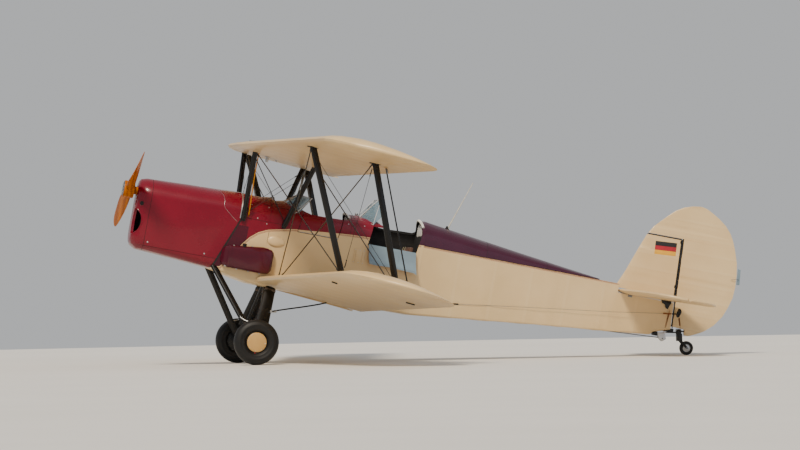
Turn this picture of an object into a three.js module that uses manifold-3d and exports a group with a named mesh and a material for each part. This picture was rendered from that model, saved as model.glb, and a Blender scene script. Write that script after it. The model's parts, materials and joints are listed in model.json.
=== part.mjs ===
// A two-seat open-cockpit biplane trainer, standing on its main wheels and tail wheel.
// Lengths are in millimetres. +X is forward, +Y is to the left and +Z is up.
// Every piece is drawn in the body frame, whose origin is the middle of the propeller hub's face:
// a station is a distance aft of that point, so x is minus the station, and z is measured from the
// propeller's axis. The body group then raises the nose to the parked angle.
import * as THREE from "three";
import Module from "manifold-3d";
import { mergeVertices } from "three/addons/utils/BufferGeometryUtils.js";

const wasm = await Module();
wasm.setup();

// Driving dimensions
const PARKED_PITCH = 11.6; // degrees, nose up
const SEAM = 0.4; // gap between pieces that touch
const WING = { reach: 4190, chord: 1220, thickness: 0.105, camber: 0.03 };
// Each wing: the root's leading edge, where the sweep starts, its angles, and where its tip starts to
// round with the share of that rounding at the nose
const UPPER = {
  station: 1130, z: 700, start: 550, sweep: 9, dihedral: 2, incidence: 6, tip: 3700, nose: 0.8,
};
const LOWER = {
  station: 1600, z: -720, start: 336, sweep: 8.9, dihedral: 2.95, incidence: 6.8, tip: 3560, nose: 0.6,
};
const AILERON = { hinge: 0.76, inner: 2230, outer: 3900, nose: 34, gap: 8, endGap: 15 };
const HORN = { y: 2750, thick: 6, aft: 62, drop: 50 };
const LINK = { beside: 18, radius: 8 };
const SPAR_Y = 2800; // the interplane struts' distance from the middle
const SPAR_LEAN = 50; // their heads lean out by this and their feet in
const WHEEL = { station: 1671, z: -1414.4, y: 840, radius: 250, rim: 118 };
const AXLE = { radius: 20, inner: 705, outer: 893 };
const TAIL_WHEEL = { station: 6542, radius: 78, width: 56 };
const WIRE = 5; // radius of a bracing wire
const COWL_END = { top: 1318, bend: -90, bottom: 1083, low: -690 };
const SHOULDER = -8; // height of the top longerons
const RUDDER = { top: [6300, 600], foot: [6345, -400], round: 16, gap: 10, swing: 28 };
const ELEVATOR = { station: 6234, z: -95, round: 16, gap: 10 };
const TAIL_HALF = 1424;
const TAIL_SEAT = { station: 5648, z: -126.4 }; // where the tailplane sits
const PROP = { radius: 960, turn: 66 };
const SHAFT = { radius: 42, hole: 62, end: 244 };

// Fuselage sections: half width, bottom and the deck's crown
const FUSELAGE = [
  { station: 1070, half: 310, bottom: -690, crown: 176 },
  { station: 1325, half: 326, bottom: -740, crown: 190 },
  { station: 1545, half: 335, bottom: -779, crown: 186 },
  { station: 1633, half: 335, bottom: -781, crown: 199 },
  { station: 1695, half: 335, bottom: -783, crown: 171 },
  { station: 1783, half: 335, bottom: -785, crown: 188 },
  { station: 1885, half: 335, bottom: -787, crown: 156 },
  { station: 1980, half: 335, bottom: -788, crown: 152 },
  { station: 2240, half: 335, bottom: -793, crown: 155 },
  { station: 2900, half: 335, bottom: -799, crown: 200 },
  { station: 3381, half: 330, bottom: -798, crown: 256 },
];
// Where the upper panels end on the sides
const EDGE = [
  { station: 900, z: -730 },
  { station: 1070, z: -690 },
  { station: 1185, z: -655 },
  { station: 1389, z: -359 },
  { station: 1453, z: -280 },
  { station: 1535, z: -212 },
  { station: 1635, z: -165 },
  { station: 1711, z: -148 },
  { station: 1883, z: -110 },
  { station: 2095, z: -86 },
  { station: 2536, z: -50 },
  { station: 3381, z: -18 },
  { station: 3500, z: -18 },
];
const REAR = [
  { station: 3381, half: 330, bottom: -798, top: -18 },
  { station: 4200, half: 270, bottom: -712, top: -18 },
  { station: 4915, half: 195, bottom: -635, top: -18 },
  { station: 5600, half: 118, bottom: -572, top: -20 },
  { station: 6100, half: 60, bottom: -517, top: -49 },
  { station: 6128, half: 56, bottom: -482, top: -51 },
  { station: 6360, half: 34, bottom: -412, top: -64 },
];
const DECK = [
  { station: 3381, crown: 256 },
  { station: 3700, crown: 214 },
  { station: 4100, crown: 162 },
  { station: 4500, crown: 109 },
  { station: 5000, crown: 45 },
  { station: 5420, crown: -8 },
];
const COWL = [
  { station: 165, half: 140, bottom: -540, top: 92, shoulder: -60, corner: 110 },
  { station: 172, half: 165, bottom: -572, top: 116, shoulder: -60, corner: 120 },
  { station: 190, half: 188, bottom: -602, top: 138, shoulder: -60, corner: 130 },
  { station: 250, half: 222, bottom: -636, top: 154, shoulder: -60, corner: 130 },
  { station: 700, half: 280, bottom: -664, top: 172, shoulder: -40, corner: 110 },
  { station: 1330, half: 328, bottom: -712, top: 190, shoulder: SHOULDER, corner: 70 },
];
// Cockpits: the hole's front, its rear in the middle, its half width, how far its rear corners lie
// aft of the middle, and the door's two ends and its upper edge's distance from the middle
const COCKPITS = [
  { name: "front", from: 1950, to: 2470, half: 265, lean: 43, door: [1968, 2412, 262] },
  { name: "rear", from: 2785, to: 3303, half: 290, lean: 44, door: [2764, 3299, 281] },
];

const { degToRad } = THREE.MathUtils;
const at = (station, y, z) => new THREE.Vector3(-station, y, z);
const mix = THREE.MathUtils.lerp;
const SIDES = [["left", 1], ["right", -1]];

// Reads a table between its rows
function read(table, station, column) {
  const last = table.length - 1;
  if (station <= table[0].station) return table[0][column];
  if (station >= table[last].station) return table[last][column];
  const next = table.findIndex((row) => row.station >= station);
  const [a, b] = [table[next - 1], table[next]];
  return mix(a[column], b[column], (station - a.station) / (b.station - a.station));
}

// A closed solid from points and triangles, with its faces turned outwards
function closed(positions, triangles) {
  const raw = new THREE.BufferGeometry();
  raw.setAttribute("position", new THREE.Float32BufferAttribute(positions, 3));
  raw.setIndex(triangles);
  const merged = mergeVertices(raw, 1e-3);
  const faces = [];
  for (let i = 0; i < merged.index.count; i += 3) {
    const [a, b, c] = [0, 1, 2].map((k) => merged.index.getX(i + k));
    if (a !== b && b !== c && c !== a) faces.push(a, b, c);
  }
  const make = (list) => new wasm.Manifold(new wasm.Mesh({
    numProp: 3,
    vertProperties: merged.attributes.position.array,
    triVerts: new Uint32Array(list),
  }));
  const made = make(faces);
  return made.volume() > 0 ? made : make(faces.reverse());
}

// A three.js geometry as a closed solid, and back
function solid(geometry) {
  const flat = geometry.index ? geometry.toNonIndexed() : geometry;
  const positions = Array.from(flat.attributes.position.array);
  return closed(positions, positions.map((_, i) => i).slice(0, positions.length / 3));
}
function geometryOf(shape) {
  const { vertProperties, triVerts } = shape.getMesh();
  const made = new THREE.BufferGeometry();
  made.setAttribute("position", new THREE.BufferAttribute(vertProperties, 3));
  made.setIndex(new THREE.BufferAttribute(triVerts, 1));
  return made;
}

// A closed solid through rings of equally many points
function loft(rings) {
  const count = rings[0].length;
  const positions = rings.flat().flatMap((p) => [p.x, p.y, p.z]);
  const faces = [];
  for (let i = 0; i + 1 < rings.length; i++) {
    for (let j = 0; j < count; j++) {
      const [a, b] = [i * count + j, i * count + ((j + 1) % count)];
      faces.push(a, b, a + count, b, b + count, a + count);
    }
  }
  [0, rings.length - 1].forEach((end) => {
    const middle = rings[end].reduce((sum, p) => sum.add(p), new THREE.Vector3()).divideScalar(count);
    const centre = positions.push(middle.x, middle.y, middle.z) / 3 - 1;
    for (let j = 0; j < count; j++) {
      const [a, b] = [end * count + j, end * count + ((j + 1) % count)];
      if (end) faces.push(a, b, centre);
      else faces.push(b, a, centre);
    }
  });
  return closed(positions, faces);
}

// A block between two opposite corners
function box(low, high) {
  const size = high.clone().sub(low);
  const made = new THREE.BoxGeometry(Math.abs(size.x), Math.abs(size.y), Math.abs(size.z));
  const middle = low.clone().add(high).multiplyScalar(0.5);
  return solid(made.translate(middle.x, middle.y, middle.z));
}

// A plate: an outline of station and height pairs, extruded across the body
function plate(outline, from, to) {
  const shape = new THREE.Shape(outline.map(([station, z]) => new THREE.Vector2(-station, z)));
  const made = new THREE.ExtrudeGeometry(shape, { depth: to - from, bevelEnabled: false });
  return solid(made.rotateX(Math.PI / 2).translate(0, to, 0));
}

// A level plate: an outline of station and y pairs, extruded upwards
function levelPlate(outline, from, to) {
  const shape = new THREE.Shape(outline.map(([station, y]) => new THREE.Vector2(-station, y)));
  const made = new THREE.ExtrudeGeometry(shape, { depth: to - from, bevelEnabled: false });
  return solid(made.translate(0, 0, from));
}

// A round bar between two points
function rod(a, b, radius, sides = 8) {
  const made = new THREE.CylinderGeometry(radius, radius, a.distanceTo(b), sides);
  const along = b.clone().sub(a).normalize();
  const turn = new THREE.Quaternion().setFromUnitVectors(new THREE.Vector3(0, 1, 0), along);
  const middle = a.clone().add(b).multiplyScalar(0.5);
  return solid(made.applyQuaternion(turn).translate(middle.x, middle.y, middle.z));
}

// A bent tube along a smooth line through points
function tube(points, radius, steps) {
  const circle = new THREE.Shape().absarc(0, 0, radius, 0, 2 * Math.PI);
  const route = new THREE.CatmullRomCurve3(points);
  return solid(new THREE.ExtrudeGeometry(circle, { steps, extrudePath: route, curveSegments: 5 }));
}

// A streamlined strut between two points, its chord along the flight direction
function strut(a, b, chord, thickness, endChord = chord, sides = 12) {
  const along = b.clone().sub(a).normalize();
  const fore = new THREE.Vector3(1, 0, 0).addScaledVector(along, -along.x).normalize();
  const side = along.clone().cross(fore);
  const ring = (p, long) => Array.from({ length: sides }, (_, i) => {
    const turn = (i / sides) * 2 * Math.PI;
    const full = 0.5 + 0.12 * Math.cos(turn);
    return p.clone().addScaledVector(fore, 0.5 * long * Math.cos(turn))
      .addScaledVector(side, thickness * full * Math.sin(turn));
  });
  return loft([ring(a, chord), ring(b, endChord)]);
}

// A solid turned about a line across the body, from radius and y pairs
function turned(profile, centre, segments) {
  const made = new THREE.LatheGeometry(profile.map(([r, y]) => new THREE.Vector2(r, y)), segments);
  return solid(made.translate(centre.x, centre.y, centre.z));
}

const join = (...solids) => solids.reduce((all, one) => all.add(one));
const lift = (p, up) => p.clone().add(new THREE.Vector3(0, 0, up));

// Materials
const paint = (color, roughness, metalness = 0) => () => new THREE.MeshStandardMaterial({
  color, roughness, metalness,
});
const crimson = paint(0x8e1a34, 0.25);
const plum = paint(0x5a1a2a, 0.35);
const cream = paint(0xe0c79a, 0.55);
const black = paint(0x17171b, 0.3);
const steel = paint(0x8d9094, 0.35, 0.9);
const wood = paint(0xa8652a, 0.25);
const rubber = paint(0x1b1b1d, 0.8);
const sand = paint(0xcdb07c, 0.5);
const glass = paint(0x9fb2c0, 0.1);
const hide = paint(0x5b3a26, 0.6);
const pale = paint(0xd9d4c8, 0.6);

const body = new THREE.Group();

function add(name, shape, material) {
  const mesh = new THREE.Mesh(geometryOf(shape).toNonIndexed(), material());
  mesh.geometry.computeVertexNormals();
  mesh.name = name;
  body.add(mesh);
}

// A body section: rounded lower corners, flat sides and an arched top
const ARCH_STEPS = 16;
const CORNER_STEPS = 3;
function section(station, { half, bottom, top, shoulder, corner }) {
  const points = [];
  for (let i = 0; i <= CORNER_STEPS; i++) {
    const turn = (i / CORNER_STEPS) * (Math.PI / 2);
    points.push([half - corner + corner * Math.sin(turn), bottom + corner - corner * Math.cos(turn)]);
  }
  for (let i = 0; i <= ARCH_STEPS; i++) {
    const turn = (i / ARCH_STEPS) * Math.PI;
    points.push([half * Math.cos(turn), shoulder + (top - shoulder) * Math.sin(turn)]);
  }
  for (let i = CORNER_STEPS; i >= 0; i--) {
    const turn = (i / CORNER_STEPS) * (Math.PI / 2);
    points.push([-half + corner - corner * Math.sin(turn), bottom + corner - corner * Math.cos(turn)]);
  }
  return points.map(([y, z]) => at(station, y, z));
}

// The same section with its sides moved in by a wall, or out by a negative one
const shrink = (row, wall) => ({
  half: row.half - wall,
  bottom: row.bottom + wall,
  top: row.top - wall,
  shoulder: row.shoulder,
  corner: Math.max(row.corner - wall, 8),
});
const lofted = (rows, wall = 0) => loft(rows.map((row) => section(row.station, shrink(row, wall))));

// Cowling: a thin metal shell around the engine, open behind, with the air intake in its nose
const COWL_WALL = 10;
const behindCowl = (gap) => [
  [COWL_END.top + gap, 400],
  [COWL_END.top + gap, COWL_END.bend],
  [COWL_END.bottom + gap, COWL_END.low],
  [COWL_END.bottom - 60 + gap, COWL_END.low - 150],
  [3500, COWL_END.low - 150],
  [3500, 400],
];
const cowlInner = loft([
  ...COWL.slice(2).map((row) => section(row.station, shrink(row, COWL_WALL))),
  section(1500, shrink(COWL[COWL.length - 1], COWL_WALL)),
]);
const INTAKE = { y: 160, z: -335, wide: 60, tall: 143, from: 80, to: 290 };
const intake = (() => {
  const oval = new THREE.Shape().absellipse(INTAKE.y, INTAKE.z, INTAKE.wide, INTAKE.tall, 0, 2 * Math.PI);
  const made = new THREE.ExtrudeGeometry(oval, {
    depth: INTAKE.to - INTAKE.from, bevelEnabled: false, curveSegments: 12,
  });
  return solid(made.rotateX(Math.PI / 2).rotateZ(Math.PI / 2).translate(-INTAKE.to, 0, 0));
})();
const shaftHole = rod(at(100, 0, 0), at(260, 0, 0), SHAFT.hole, 20);
const airHole = rod(at(120, 110, -130), at(260, 110, -130), 30, 12);
const cowling = lofted(COWL).subtract(cowlInner).subtract(plate(behindCowl(0), -500, 500))
  .subtract(intake).subtract(shaftHole).subtract(airHole);
add("cowling", cowling, crimson);

// Engine: one block on two bearers that run back to the fuselage's front
const ENGINE = { from: 250, to: 1080, half: 150, low: -540, high: 70 };
const BEARER = { from: 800, inner: 110, outer: 146, low: -330, high: -270 };
const bearers = SIDES.map(([, side]) => box(
  at(1400, side * BEARER.inner, BEARER.low), at(BEARER.from, side * BEARER.outer, BEARER.high)));
const engineBlock = box(
  at(ENGINE.to, -ENGINE.half, ENGINE.low), at(ENGINE.from, ENGINE.half, ENGINE.high));
add("engine", join(engineBlock, ...bearers).subtract(plate(behindCowl(0), -500, 500)), steel);

// Forward fuselage: a tub with two cockpits, and the upper panels over it
const TUB_WALL = 22;
const DECK_WALL = 14;
const fuselageRow = (station) => ({
  station,
  half: read(FUSELAGE, station, "half"),
  bottom: read(FUSELAGE, station, "bottom"),
  top: read(FUSELAGE, station, "crown"),
  shoulder: SHOULDER,
  corner: 30,
});
const hullRows = FUSELAGE.map((row) => fuselageRow(row.station));
const aheadOfHull = plate(
  [[0, 900], [0, -1400], ...behindCowl(SEAM).slice(0, 4).reverse(), [COWL_END.top + SEAM, 900]], -600, 600);
const hull = lofted(hullRows).subtract(aheadOfHull);
const hullRoom = lofted(hullRows, -SEAM); // what other pieces keep clear of
const CABIN = { front: 1420, rear: 3352 };
const cabinRows = [
  fuselageRow(CABIN.front),
  ...hullRows.filter((row) => row.station > CABIN.front && row.station < CABIN.rear),
  fuselageRow(CABIN.rear),
];
const cabin = (wall) => lofted(cabinRows, wall);
const edgeLine = (shift) => EDGE.map((row) => [row.station, row.z + shift]);
const above = plate([[EDGE[0].station, 900], ...edgeLine(SEAM / 2), [3500, 900]], -600, 600);
const below = plate([[EDGE[0].station, -1400], ...edgeLine(-SEAM / 2), [3500, -1400]], -600, 600);

// A cockpit's hole: shares of its length from the front and of its half width
const HOLE = [
  { along: 0, across: 0 }, { along: 0.01, across: 0.3 }, { along: 0.05, across: 0.62 },
  { along: 0.14, across: 0.88 }, { along: 0.25, across: 0.98 }, { along: 0.36, across: 1 },
  { along: 0.93, across: 1 }, { along: 0.99, across: 0.96 }, { along: 1, across: 0.86 },
  { along: 1, across: 0.5 }, { along: 1, across: 0 },
];
const HOLE_LOW = -30;
const holeRear = (pit, y) => pit.to + pit.lean * (Math.abs(y) / pit.half) ** 1.6;
function hole(pit) {
  const half = HOLE.map(({ along, across }) => {
    const y = across * pit.half;
    return [mix(pit.from, holeRear(pit, y), along), y];
  });
  const right = half.slice(1, -1).reverse().map(([station, y]) => [station, -y]);
  return levelPlate([...half, ...right], HOLE_LOW, 500);
}

// Cockpit doors: the part of the left side between two leaning cuts, hinged along its lower edge
const DOOR = { low: -122, high: 260, lean: 0.155, gap: 7 };
const DOOR_OPEN = 172;
function doorway([from, to, inner], gap) {
  const low = DOOR.low - gap;
  const aft = DOOR.lean * (DOOR.high - low);
  return plate([
    [from - gap, low], [to + gap, low], [to + gap + aft, DOOR.high], [from - gap + aft, DOOR.high],
  ], inner - gap, 500);
}
const cutDoors = (side) => COCKPITS.reduce((rest, pit) => rest.subtract(doorway(pit.door, DOOR.gap)), side);
const cutHoles = (deck) => COCKPITS.reduce((rest, pit) => rest.subtract(hole(pit)), deck);
add("coaming", cutHoles(cutDoors(hull.subtract(cabin(DECK_WALL)).intersect(above))), crimson);
add("fuselage_front", cutDoors(hull.subtract(cabin(TUB_WALL)).intersect(below)), cream);

const doorSkin = hull.subtract(cabin(DECK_WALL));
const doorPanel = (pit) => doorSkin.subtract(hole(pit)).intersect(doorway(pit.door, 0));
const [frontPit, rearPit] = COCKPITS;
add("door_front", doorPanel(frontPit), crimson);
// The rear door hangs open: it is turned down and out about its hinge
const hinge = at(rearPit.door[0], fuselageRow(rearPit.door[0]).half + 9, DOOR.low + 2);
const openDoor = geometryOf(doorPanel(rearPit)).translate(0, -hinge.y, -hinge.z)
  .rotateX(-degToRad(DOOR_OPEN)).translate(0, hinge.y, hinge.z);
add("door_rear", solid(openDoor), cream);

// Instrument panels: a plate across the body at the front of each cockpit
const PANEL = { ahead: 18, thick: 6, low: -230 };
const insideWalls = cabin(TUB_WALL + SEAM).add(cabin(DECK_WALL + SEAM).intersect(above));
COCKPITS.forEach((pit) => {
  const station = pit.from - PANEL.ahead;
  const slab = box(at(station, -500, PANEL.low), at(station - PANEL.thick, 500, 500));
  add(`instrument_panel_${pit.name}`, insideWalls.intersect(slab), black);
});

// Height of the deck at a place on it
function deckHeight(station, y) {
  const { half, top } = fuselageRow(station);
  return SHOULDER + (top - SHOULDER) * Math.sqrt(Math.max(0, 1 - (y / half) ** 2));
}

// Edge paddings: a half-round roll along the rear edge of each cockpit
const ROLL = { radius: 14, over: 3, aft: 12, reach: 0.82, steps: 16 };
COCKPITS.forEach((pit) => {
  const points = Array.from({ length: 9 }, (_, i) => {
    const y = (i / 4 - 1) * ROLL.reach * pit.half;
    const station = holeRear(pit, y) + ROLL.aft;
    return at(station, y, deckHeight(station, y) + ROLL.over);
  });
  add(`padding_${pit.name}`, tube(points, ROLL.radius, ROLL.steps).subtract(hullRoom), pale);
});

// Rear fuselage and the deck on its back; the stern is cut along the rudder's hinge line
function rudderHinge(z) {
  const [[high, top], [low, foot]] = [RUDDER.top, RUDDER.foot];
  return mix(high, low, (top - z) / (top - foot));
}
const fixedEdge = (z) => rudderHinge(z) - RUDDER.round - RUDDER.gap;
const aftOfStern = plate(
  [[fixedEdge(900), 900], [7500, 900], [7500, -900], [fixedEdge(-900), -900]], -400, 400);
const rearRows = REAR.map((row) => ({ ...row, shoulder: row.top - 6, corner: 26 }));
rearRows[0].station += SEAM;
const stern = (gap) => lofted(rearRows, -gap).subtract(
  box(at(6500, -300, TAIL_SEAT.z + gap), at(TAIL_SEAT.station + gap, 300, 200)));
add("fuselage_rear", stern(0).subtract(aftOfStern), cream);
const rearRoom = stern(SEAM);

const deckFoot = REAR[0].top + SEAM;
const deckRing = ({ station, crown }, grow) => {
  const half = read(REAR, station, "half") + grow;
  return Array.from({ length: 13 }, (_, i) => {
    const turn = (i / 12) * Math.PI;
    return at(station, half * Math.cos(turn), deckFoot + (crown + grow - deckFoot) * Math.sin(turn));
  });
};
const deckRows = DECK.map((row, i) => ({ ...row, station: row.station + (i ? 0 : SEAM) }));
add("turtle_deck", loft(deckRows.map((row) => deckRing(row, 0))), plum);
const deckRoom = loft(deckRows.map((row) => deckRing(row, SEAM)));

// Aerial: a thin tapered rod on the rear deck
const AERIAL = { foot: at(3640, 0, 190), tip: at(3839, 0, 777), thick: 8, thin: 3 };
const circle = (centre, radius, sides = 8) => Array.from({ length: sides }, (_, i) => {
  const turn = (i / sides) * 2 * Math.PI;
  return centre.clone().add(new THREE.Vector3(radius * Math.cos(turn), radius * Math.sin(turn), 0));
});
const aerial = loft([circle(AERIAL.foot, AERIAL.thick), circle(AERIAL.tip, AERIAL.thin)]);
add("aerial", aerial.subtract(deckRoom), black);

// Seats: a pan and a back in one piece
COCKPITS.forEach((pit) => {
  const back = pit.to - 30;
  add(`seat_${pit.name}`, plate([
    [back - 420, -470], [back - 410, -430], [back - 75, -455], [back - 25, -60],
    [back + 10, -60], [back - 30, -500], [back - 410, -510],
  ], -215, 215), hide);
});

// Windscreens: a folded pane around the front of each cockpit, standing on the deck
const SCREENS = [
  {
    name: "front", foot: [1770, 130], footSide: [1914, 285],
    head: [1936, 140, 284], headSide: [2062, 245, 264],
  },
  {
    name: "rear", foot: [2636, 130], footSide: [2780, 280],
    head: [2806, 165, 388], headSide: [2824, 222, 374],
  },
];
const SCREEN_SINK = 40;
const PANE = 7;
SCREENS.forEach(({ name, foot, footSide, head, headSide }) => {
  const column = ([station, y], [over, overY, z], side) => [
    at(station, side * y, deckHeight(station, y) - SCREEN_SINK), at(over, side * overY, z),
  ];
  const folds = [
    column(footSide, headSide, -1), column(foot, head, -1),
    column(foot, head, 1), column(footSide, headSide, 1),
  ];
  const back = (p) => p.clone().add(new THREE.Vector3(-PANE, 0, 0));
  const pane = loft(folds.map((fold) => [...fold, ...[...fold].reverse().map(back)]));
  add(`windscreen_${name}`, pane.subtract(hullRoom), glass);
});

// Oil tank on the left side
const TANK = [
  { station: 1172, low: -600, high: -470, deep: 40 },
  { station: 1200, low: -640, high: -425, deep: 86 },
  { station: 1250, low: -654, high: -408, deep: 110 },
  { station: 1620, low: -660, high: -364, deep: 122 },
  { station: 1712, low: -648, high: -380, deep: 110 },
  { station: 1740, low: -612, high: -404, deep: 80 },
];
const tankRing = ({ station, low, high, deep }) => {
  const inner = read(FUSELAGE, station, "half") - 10;
  const [mid, tall] = [(low + high) / 2, (high - low) / 2];
  return Array.from({ length: 16 }, (_, i) => {
    const turn = (i / 16) * 2 * Math.PI;
    const round = (v) => Math.sign(v) * Math.abs(v) ** 0.5;
    return at(station, inner + (deep / 2) * (1 + round(Math.cos(turn))), mid + tall * round(Math.sin(turn)));
  });
};
add("oil_tank", loft(TANK.map(tankRing)).subtract(hullRoom), crimson);

// Exhaust pipe: it comes out of the cowling's right side and turns down behind it
const PIPE = { radius: 32, steps: 16 };
const PIPE_LINE = [
  { station: 330, z: -425, off: -60 },
  { station: 400, z: -430, off: 20 },
  { station: 700, z: -440, off: 45 },
  { station: 1050, z: -470, off: 45 },
  { station: 1180, z: -560, off: 45 },
  { station: 1240, z: -720, off: 45 },
];
const pipePoints = PIPE_LINE.map(
  ({ station, z, off }) => at(station, -(read(COWL, station, "half") + off), z));
add("exhaust_pipe", tube(pipePoints, PIPE.radius, PIPE.steps).subtract(lofted(COWL, -SEAM)), steel);

// Wing section: share of the chord to height over the chord line, as a share of the chord too
const FOIL_STEPS = 12;
const meanLine = (part) => (part < 0.4
  ? (WING.camber / 0.16) * (0.8 * part - part * part)
  : (WING.camber / 0.36) * (0.2 + 0.8 * part - part * part));
function foil(part, upper) {
  const half = 5 * WING.thickness * (0.2969 * Math.sqrt(part) - 0.126 * part - 0.3516 * part ** 2
    + 0.2843 * part ** 3 - 0.1015 * part ** 4);
  return meanLine(part) + (upper ? half : -half);
}

// A place on a wing: y, the distance aft of the straight nose line and the height over the chord line
function place(wing, side, y, along, up) {
  const past = Math.max(0, y - wing.start);
  const tilt = degToRad(wing.incidence);
  return at(
    wing.station + past * Math.tan(degToRad(wing.sweep)) + along * Math.cos(tilt) + up * Math.sin(tilt),
    side * y,
    wing.z + past * Math.tan(degToRad(wing.dihedral)) - along * Math.sin(tilt) + up * Math.cos(tilt),
  );
}
function onWing(wing, side, y, part, upper) {
  const e = THREE.MathUtils.clamp((y - wing.tip) / (WING.reach - wing.tip), 0, 1);
  const lost = WING.chord * (1 - Math.sqrt(1 - e * e));
  const chord = WING.chord - lost;
  return place(wing, side, y, wing.nose * lost + part * chord, foil(part, upper) * chord);
}
function rib(wing, side, y, shift = 0) {
  const parts = Array.from(
    { length: FOIL_STEPS + 1 }, (_, i) => (1 - Math.cos((i / FOIL_STEPS) * Math.PI)) / 2);
  const skin = (part, upper) => lift(onWing(wing, side, y, part, upper), shift);
  const under = parts.map((part) => skin(part, false));
  const over = parts.slice(1, -1).reverse().map((part) => skin(part, true));
  return [...under, ...over];
}
const TIP_RIBS = [0, 0.3, 0.5, 0.66, 0.79, 0.89, 0.96, 0.993];
const panelRibs = (wing) => [
  wing.start + SEAM,
  ...TIP_RIBS.map((part) => mix(wing.tip, WING.reach, part)),
];
const panel = (wing, side, shift = 0) => loft(panelRibs(wing).map((y) => rib(wing, side, y, shift)));

// The hinge line of an aileron, in the middle of the wing's thickness, and the room that it needs:
// a round nose about that line and all that lies behind it
const hingePoint = (wing, side, y) => place(
  wing, side, y, AILERON.hinge * WING.chord, meanLine(AILERON.hinge) * WING.chord);
function aileronRoom(wing, side, nose, from, to) {
  const ends = [from, to].map((y) => hingePoint(wing, side, y));
  const behind = ends.map((p) => [[0, 160], [-700, 160], [-700, -220], [0, -220]].map(
    ([x, z]) => p.clone().add(new THREE.Vector3(x, 0, z))));
  return rod(ends[0], ends[1], nose, 20).add(loft(behind));
}

// Wing panels and ailerons, each aileron with a horn for the rod that links upper and lower ones
[["upper", UPPER, -1], ["lower", LOWER, 1]].forEach(([level, wing, up]) => {
  SIDES.forEach(([hand, side]) => {
    const whole = panel(wing, side);
    const { inner, outer, nose, gap, endGap } = AILERON;
    const cut = aileronRoom(wing, side, nose + gap, inner - endGap, outer + endGap);
    add(`wing_${level}_${hand}`, whole.subtract(cut), cream);
    const flap = whole.intersect(aileronRoom(wing, side, nose, inner, outer));
    const pivot = hingePoint(wing, side, HORN.y);
    const tip = pivot.z + up * HORN.drop;
    const horn = plate([
      [-pivot.x + 20, pivot.z], [-pivot.x + HORN.aft - 12, tip],
      [-pivot.x + HORN.aft + 12, tip], [-pivot.x + 110, pivot.z - 8],
    ], side * HORN.y - HORN.thick / 2, side * HORN.y + HORN.thick / 2);
    add(`aileron_${level}_${hand}`, flap.add(horn), cream);
  });
});
SIDES.forEach(([hand, side]) => {
  const end = (wing, up) => hingePoint(wing, side, HORN.y + LINK.beside)
    .add(new THREE.Vector3(-HORN.aft, 0, up * HORN.drop));
  add(`aileron_link_${hand}`, rod(end(UPPER, -1), end(LOWER, 1), LINK.radius), black);
});
add("wing_centre", loft([-1, 1].map((side) => rib(UPPER, side, UPPER.start))), cream);

// Struts between the wings, streamlined, cut where they meet the wings
const STRUT = { chord: 70, thick: 30, sink: 12 };
const SPARS = [
  { name: "front", upper: 0.12, lower: 0.18 },
  { name: "rear", upper: 0.69, lower: 0.705 },
];
SIDES.forEach(([hand, side]) => {
  SPARS.forEach(({ name, upper, lower }) => {
    const head = onWing(UPPER, side, SPAR_Y + SPAR_LEAN, upper, false);
    const foot = onWing(LOWER, side, SPAR_Y - SPAR_LEAN, lower, true);
    const bar = strut(lift(foot, -STRUT.sink), lift(head, STRUT.sink), STRUT.chord, STRUT.thick)
      .subtract(panel(UPPER, side, -SEAM)).subtract(panel(LOWER, side, SEAM));
    add(`interplane_${name}_${hand}`, bar, black);
  });
});

// Cabane struts carry the centre section: two struts on lugs and the brace between them on each side
const CABANE = [
  { foot: [1340, -95], part: 0.16 },
  { foot: [1800, -95], part: 0.72 },
];
const CABANE_BAR = { chord: 58, thick: 28 };
const CABANE_Y = { foot: 356, head: 490 };
const LUG = { long: 44, tall: 52, inner: 300, outer: 366 };
SIDES.forEach(([hand, side]) => {
  const roof = loft([200, UPPER.start - 5].map((y) => rib(UPPER, side, y, -SEAM)));
  const ends = CABANE.map(({ foot: [station, z], part }) => [
    at(station, side * CABANE_Y.foot, z), onWing(UPPER, side, CABANE_Y.head, part, false),
  ]);
  const bars = ends.map(([foot, head]) => strut(
    foot, lift(head, STRUT.sink), CABANE_BAR.chord, CABANE_BAR.thick).subtract(roof));
  const lugs = CABANE.map(({ foot: [station, z] }) => box(
    at(station + LUG.long / 2, side * LUG.inner, z - LUG.tall / 2),
    at(station - LUG.long / 2, side * LUG.outer, z + LUG.tall / 2)).subtract(hullRoom));
  const brace = rod(lift(ends[0][1], -40), lift(ends[1][0], 40), WIRE, 6);
  add(`cabane_${hand}`, join(...bars, ...lugs, brace), black);
});

// Main bracing wires: flying wires as a vee from the lower root, landing wires from the cabane heads.
// Each end lies inboard of its strut and stops at the wing's skin.
const WIRE_END = { inboard: 40, sink: 10, root: 372, rootPart: 0.185, apart: 16, cabane: 26 };
SIDES.forEach(([hand, side]) => {
  const root = lift(onWing(LOWER, side, WIRE_END.root, WIRE_END.rootPart, true), -WIRE_END.sink);
  const skins = [panel(UPPER, side, -SEAM), panel(LOWER, side, SEAM),
    loft([200, UPPER.start - SEAM].map((y) => rib(UPPER, side, y, -SEAM)))];
  const wire = (a, b) => skins.reduce((rest, skin) => rest.subtract(skin), rod(a, b, WIRE, 6));
  SPARS.forEach(({ name, upper, lower }, k) => {
    const head = onWing(UPPER, side, SPAR_Y + SPAR_LEAN - WIRE_END.inboard, upper, false);
    const foot = root.clone().add(new THREE.Vector3(-WIRE_END.apart * k, 0, 0));
    add(`flying_wire_${name}_${hand}`, wire(foot, lift(head, WIRE_END.sink)), black);
    const top = onWing(UPPER, side, CABANE_Y.head + WIRE_END.cabane, CABANE[k].part, false);
    const end = onWing(LOWER, side, SPAR_Y - SPAR_LEAN - WIRE_END.inboard, lower, true);
    add(`landing_wire_${name}_${hand}`, wire(lift(top, WIRE_END.sink), lift(end, -WIRE_END.sink)), black);
  });
});

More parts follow.
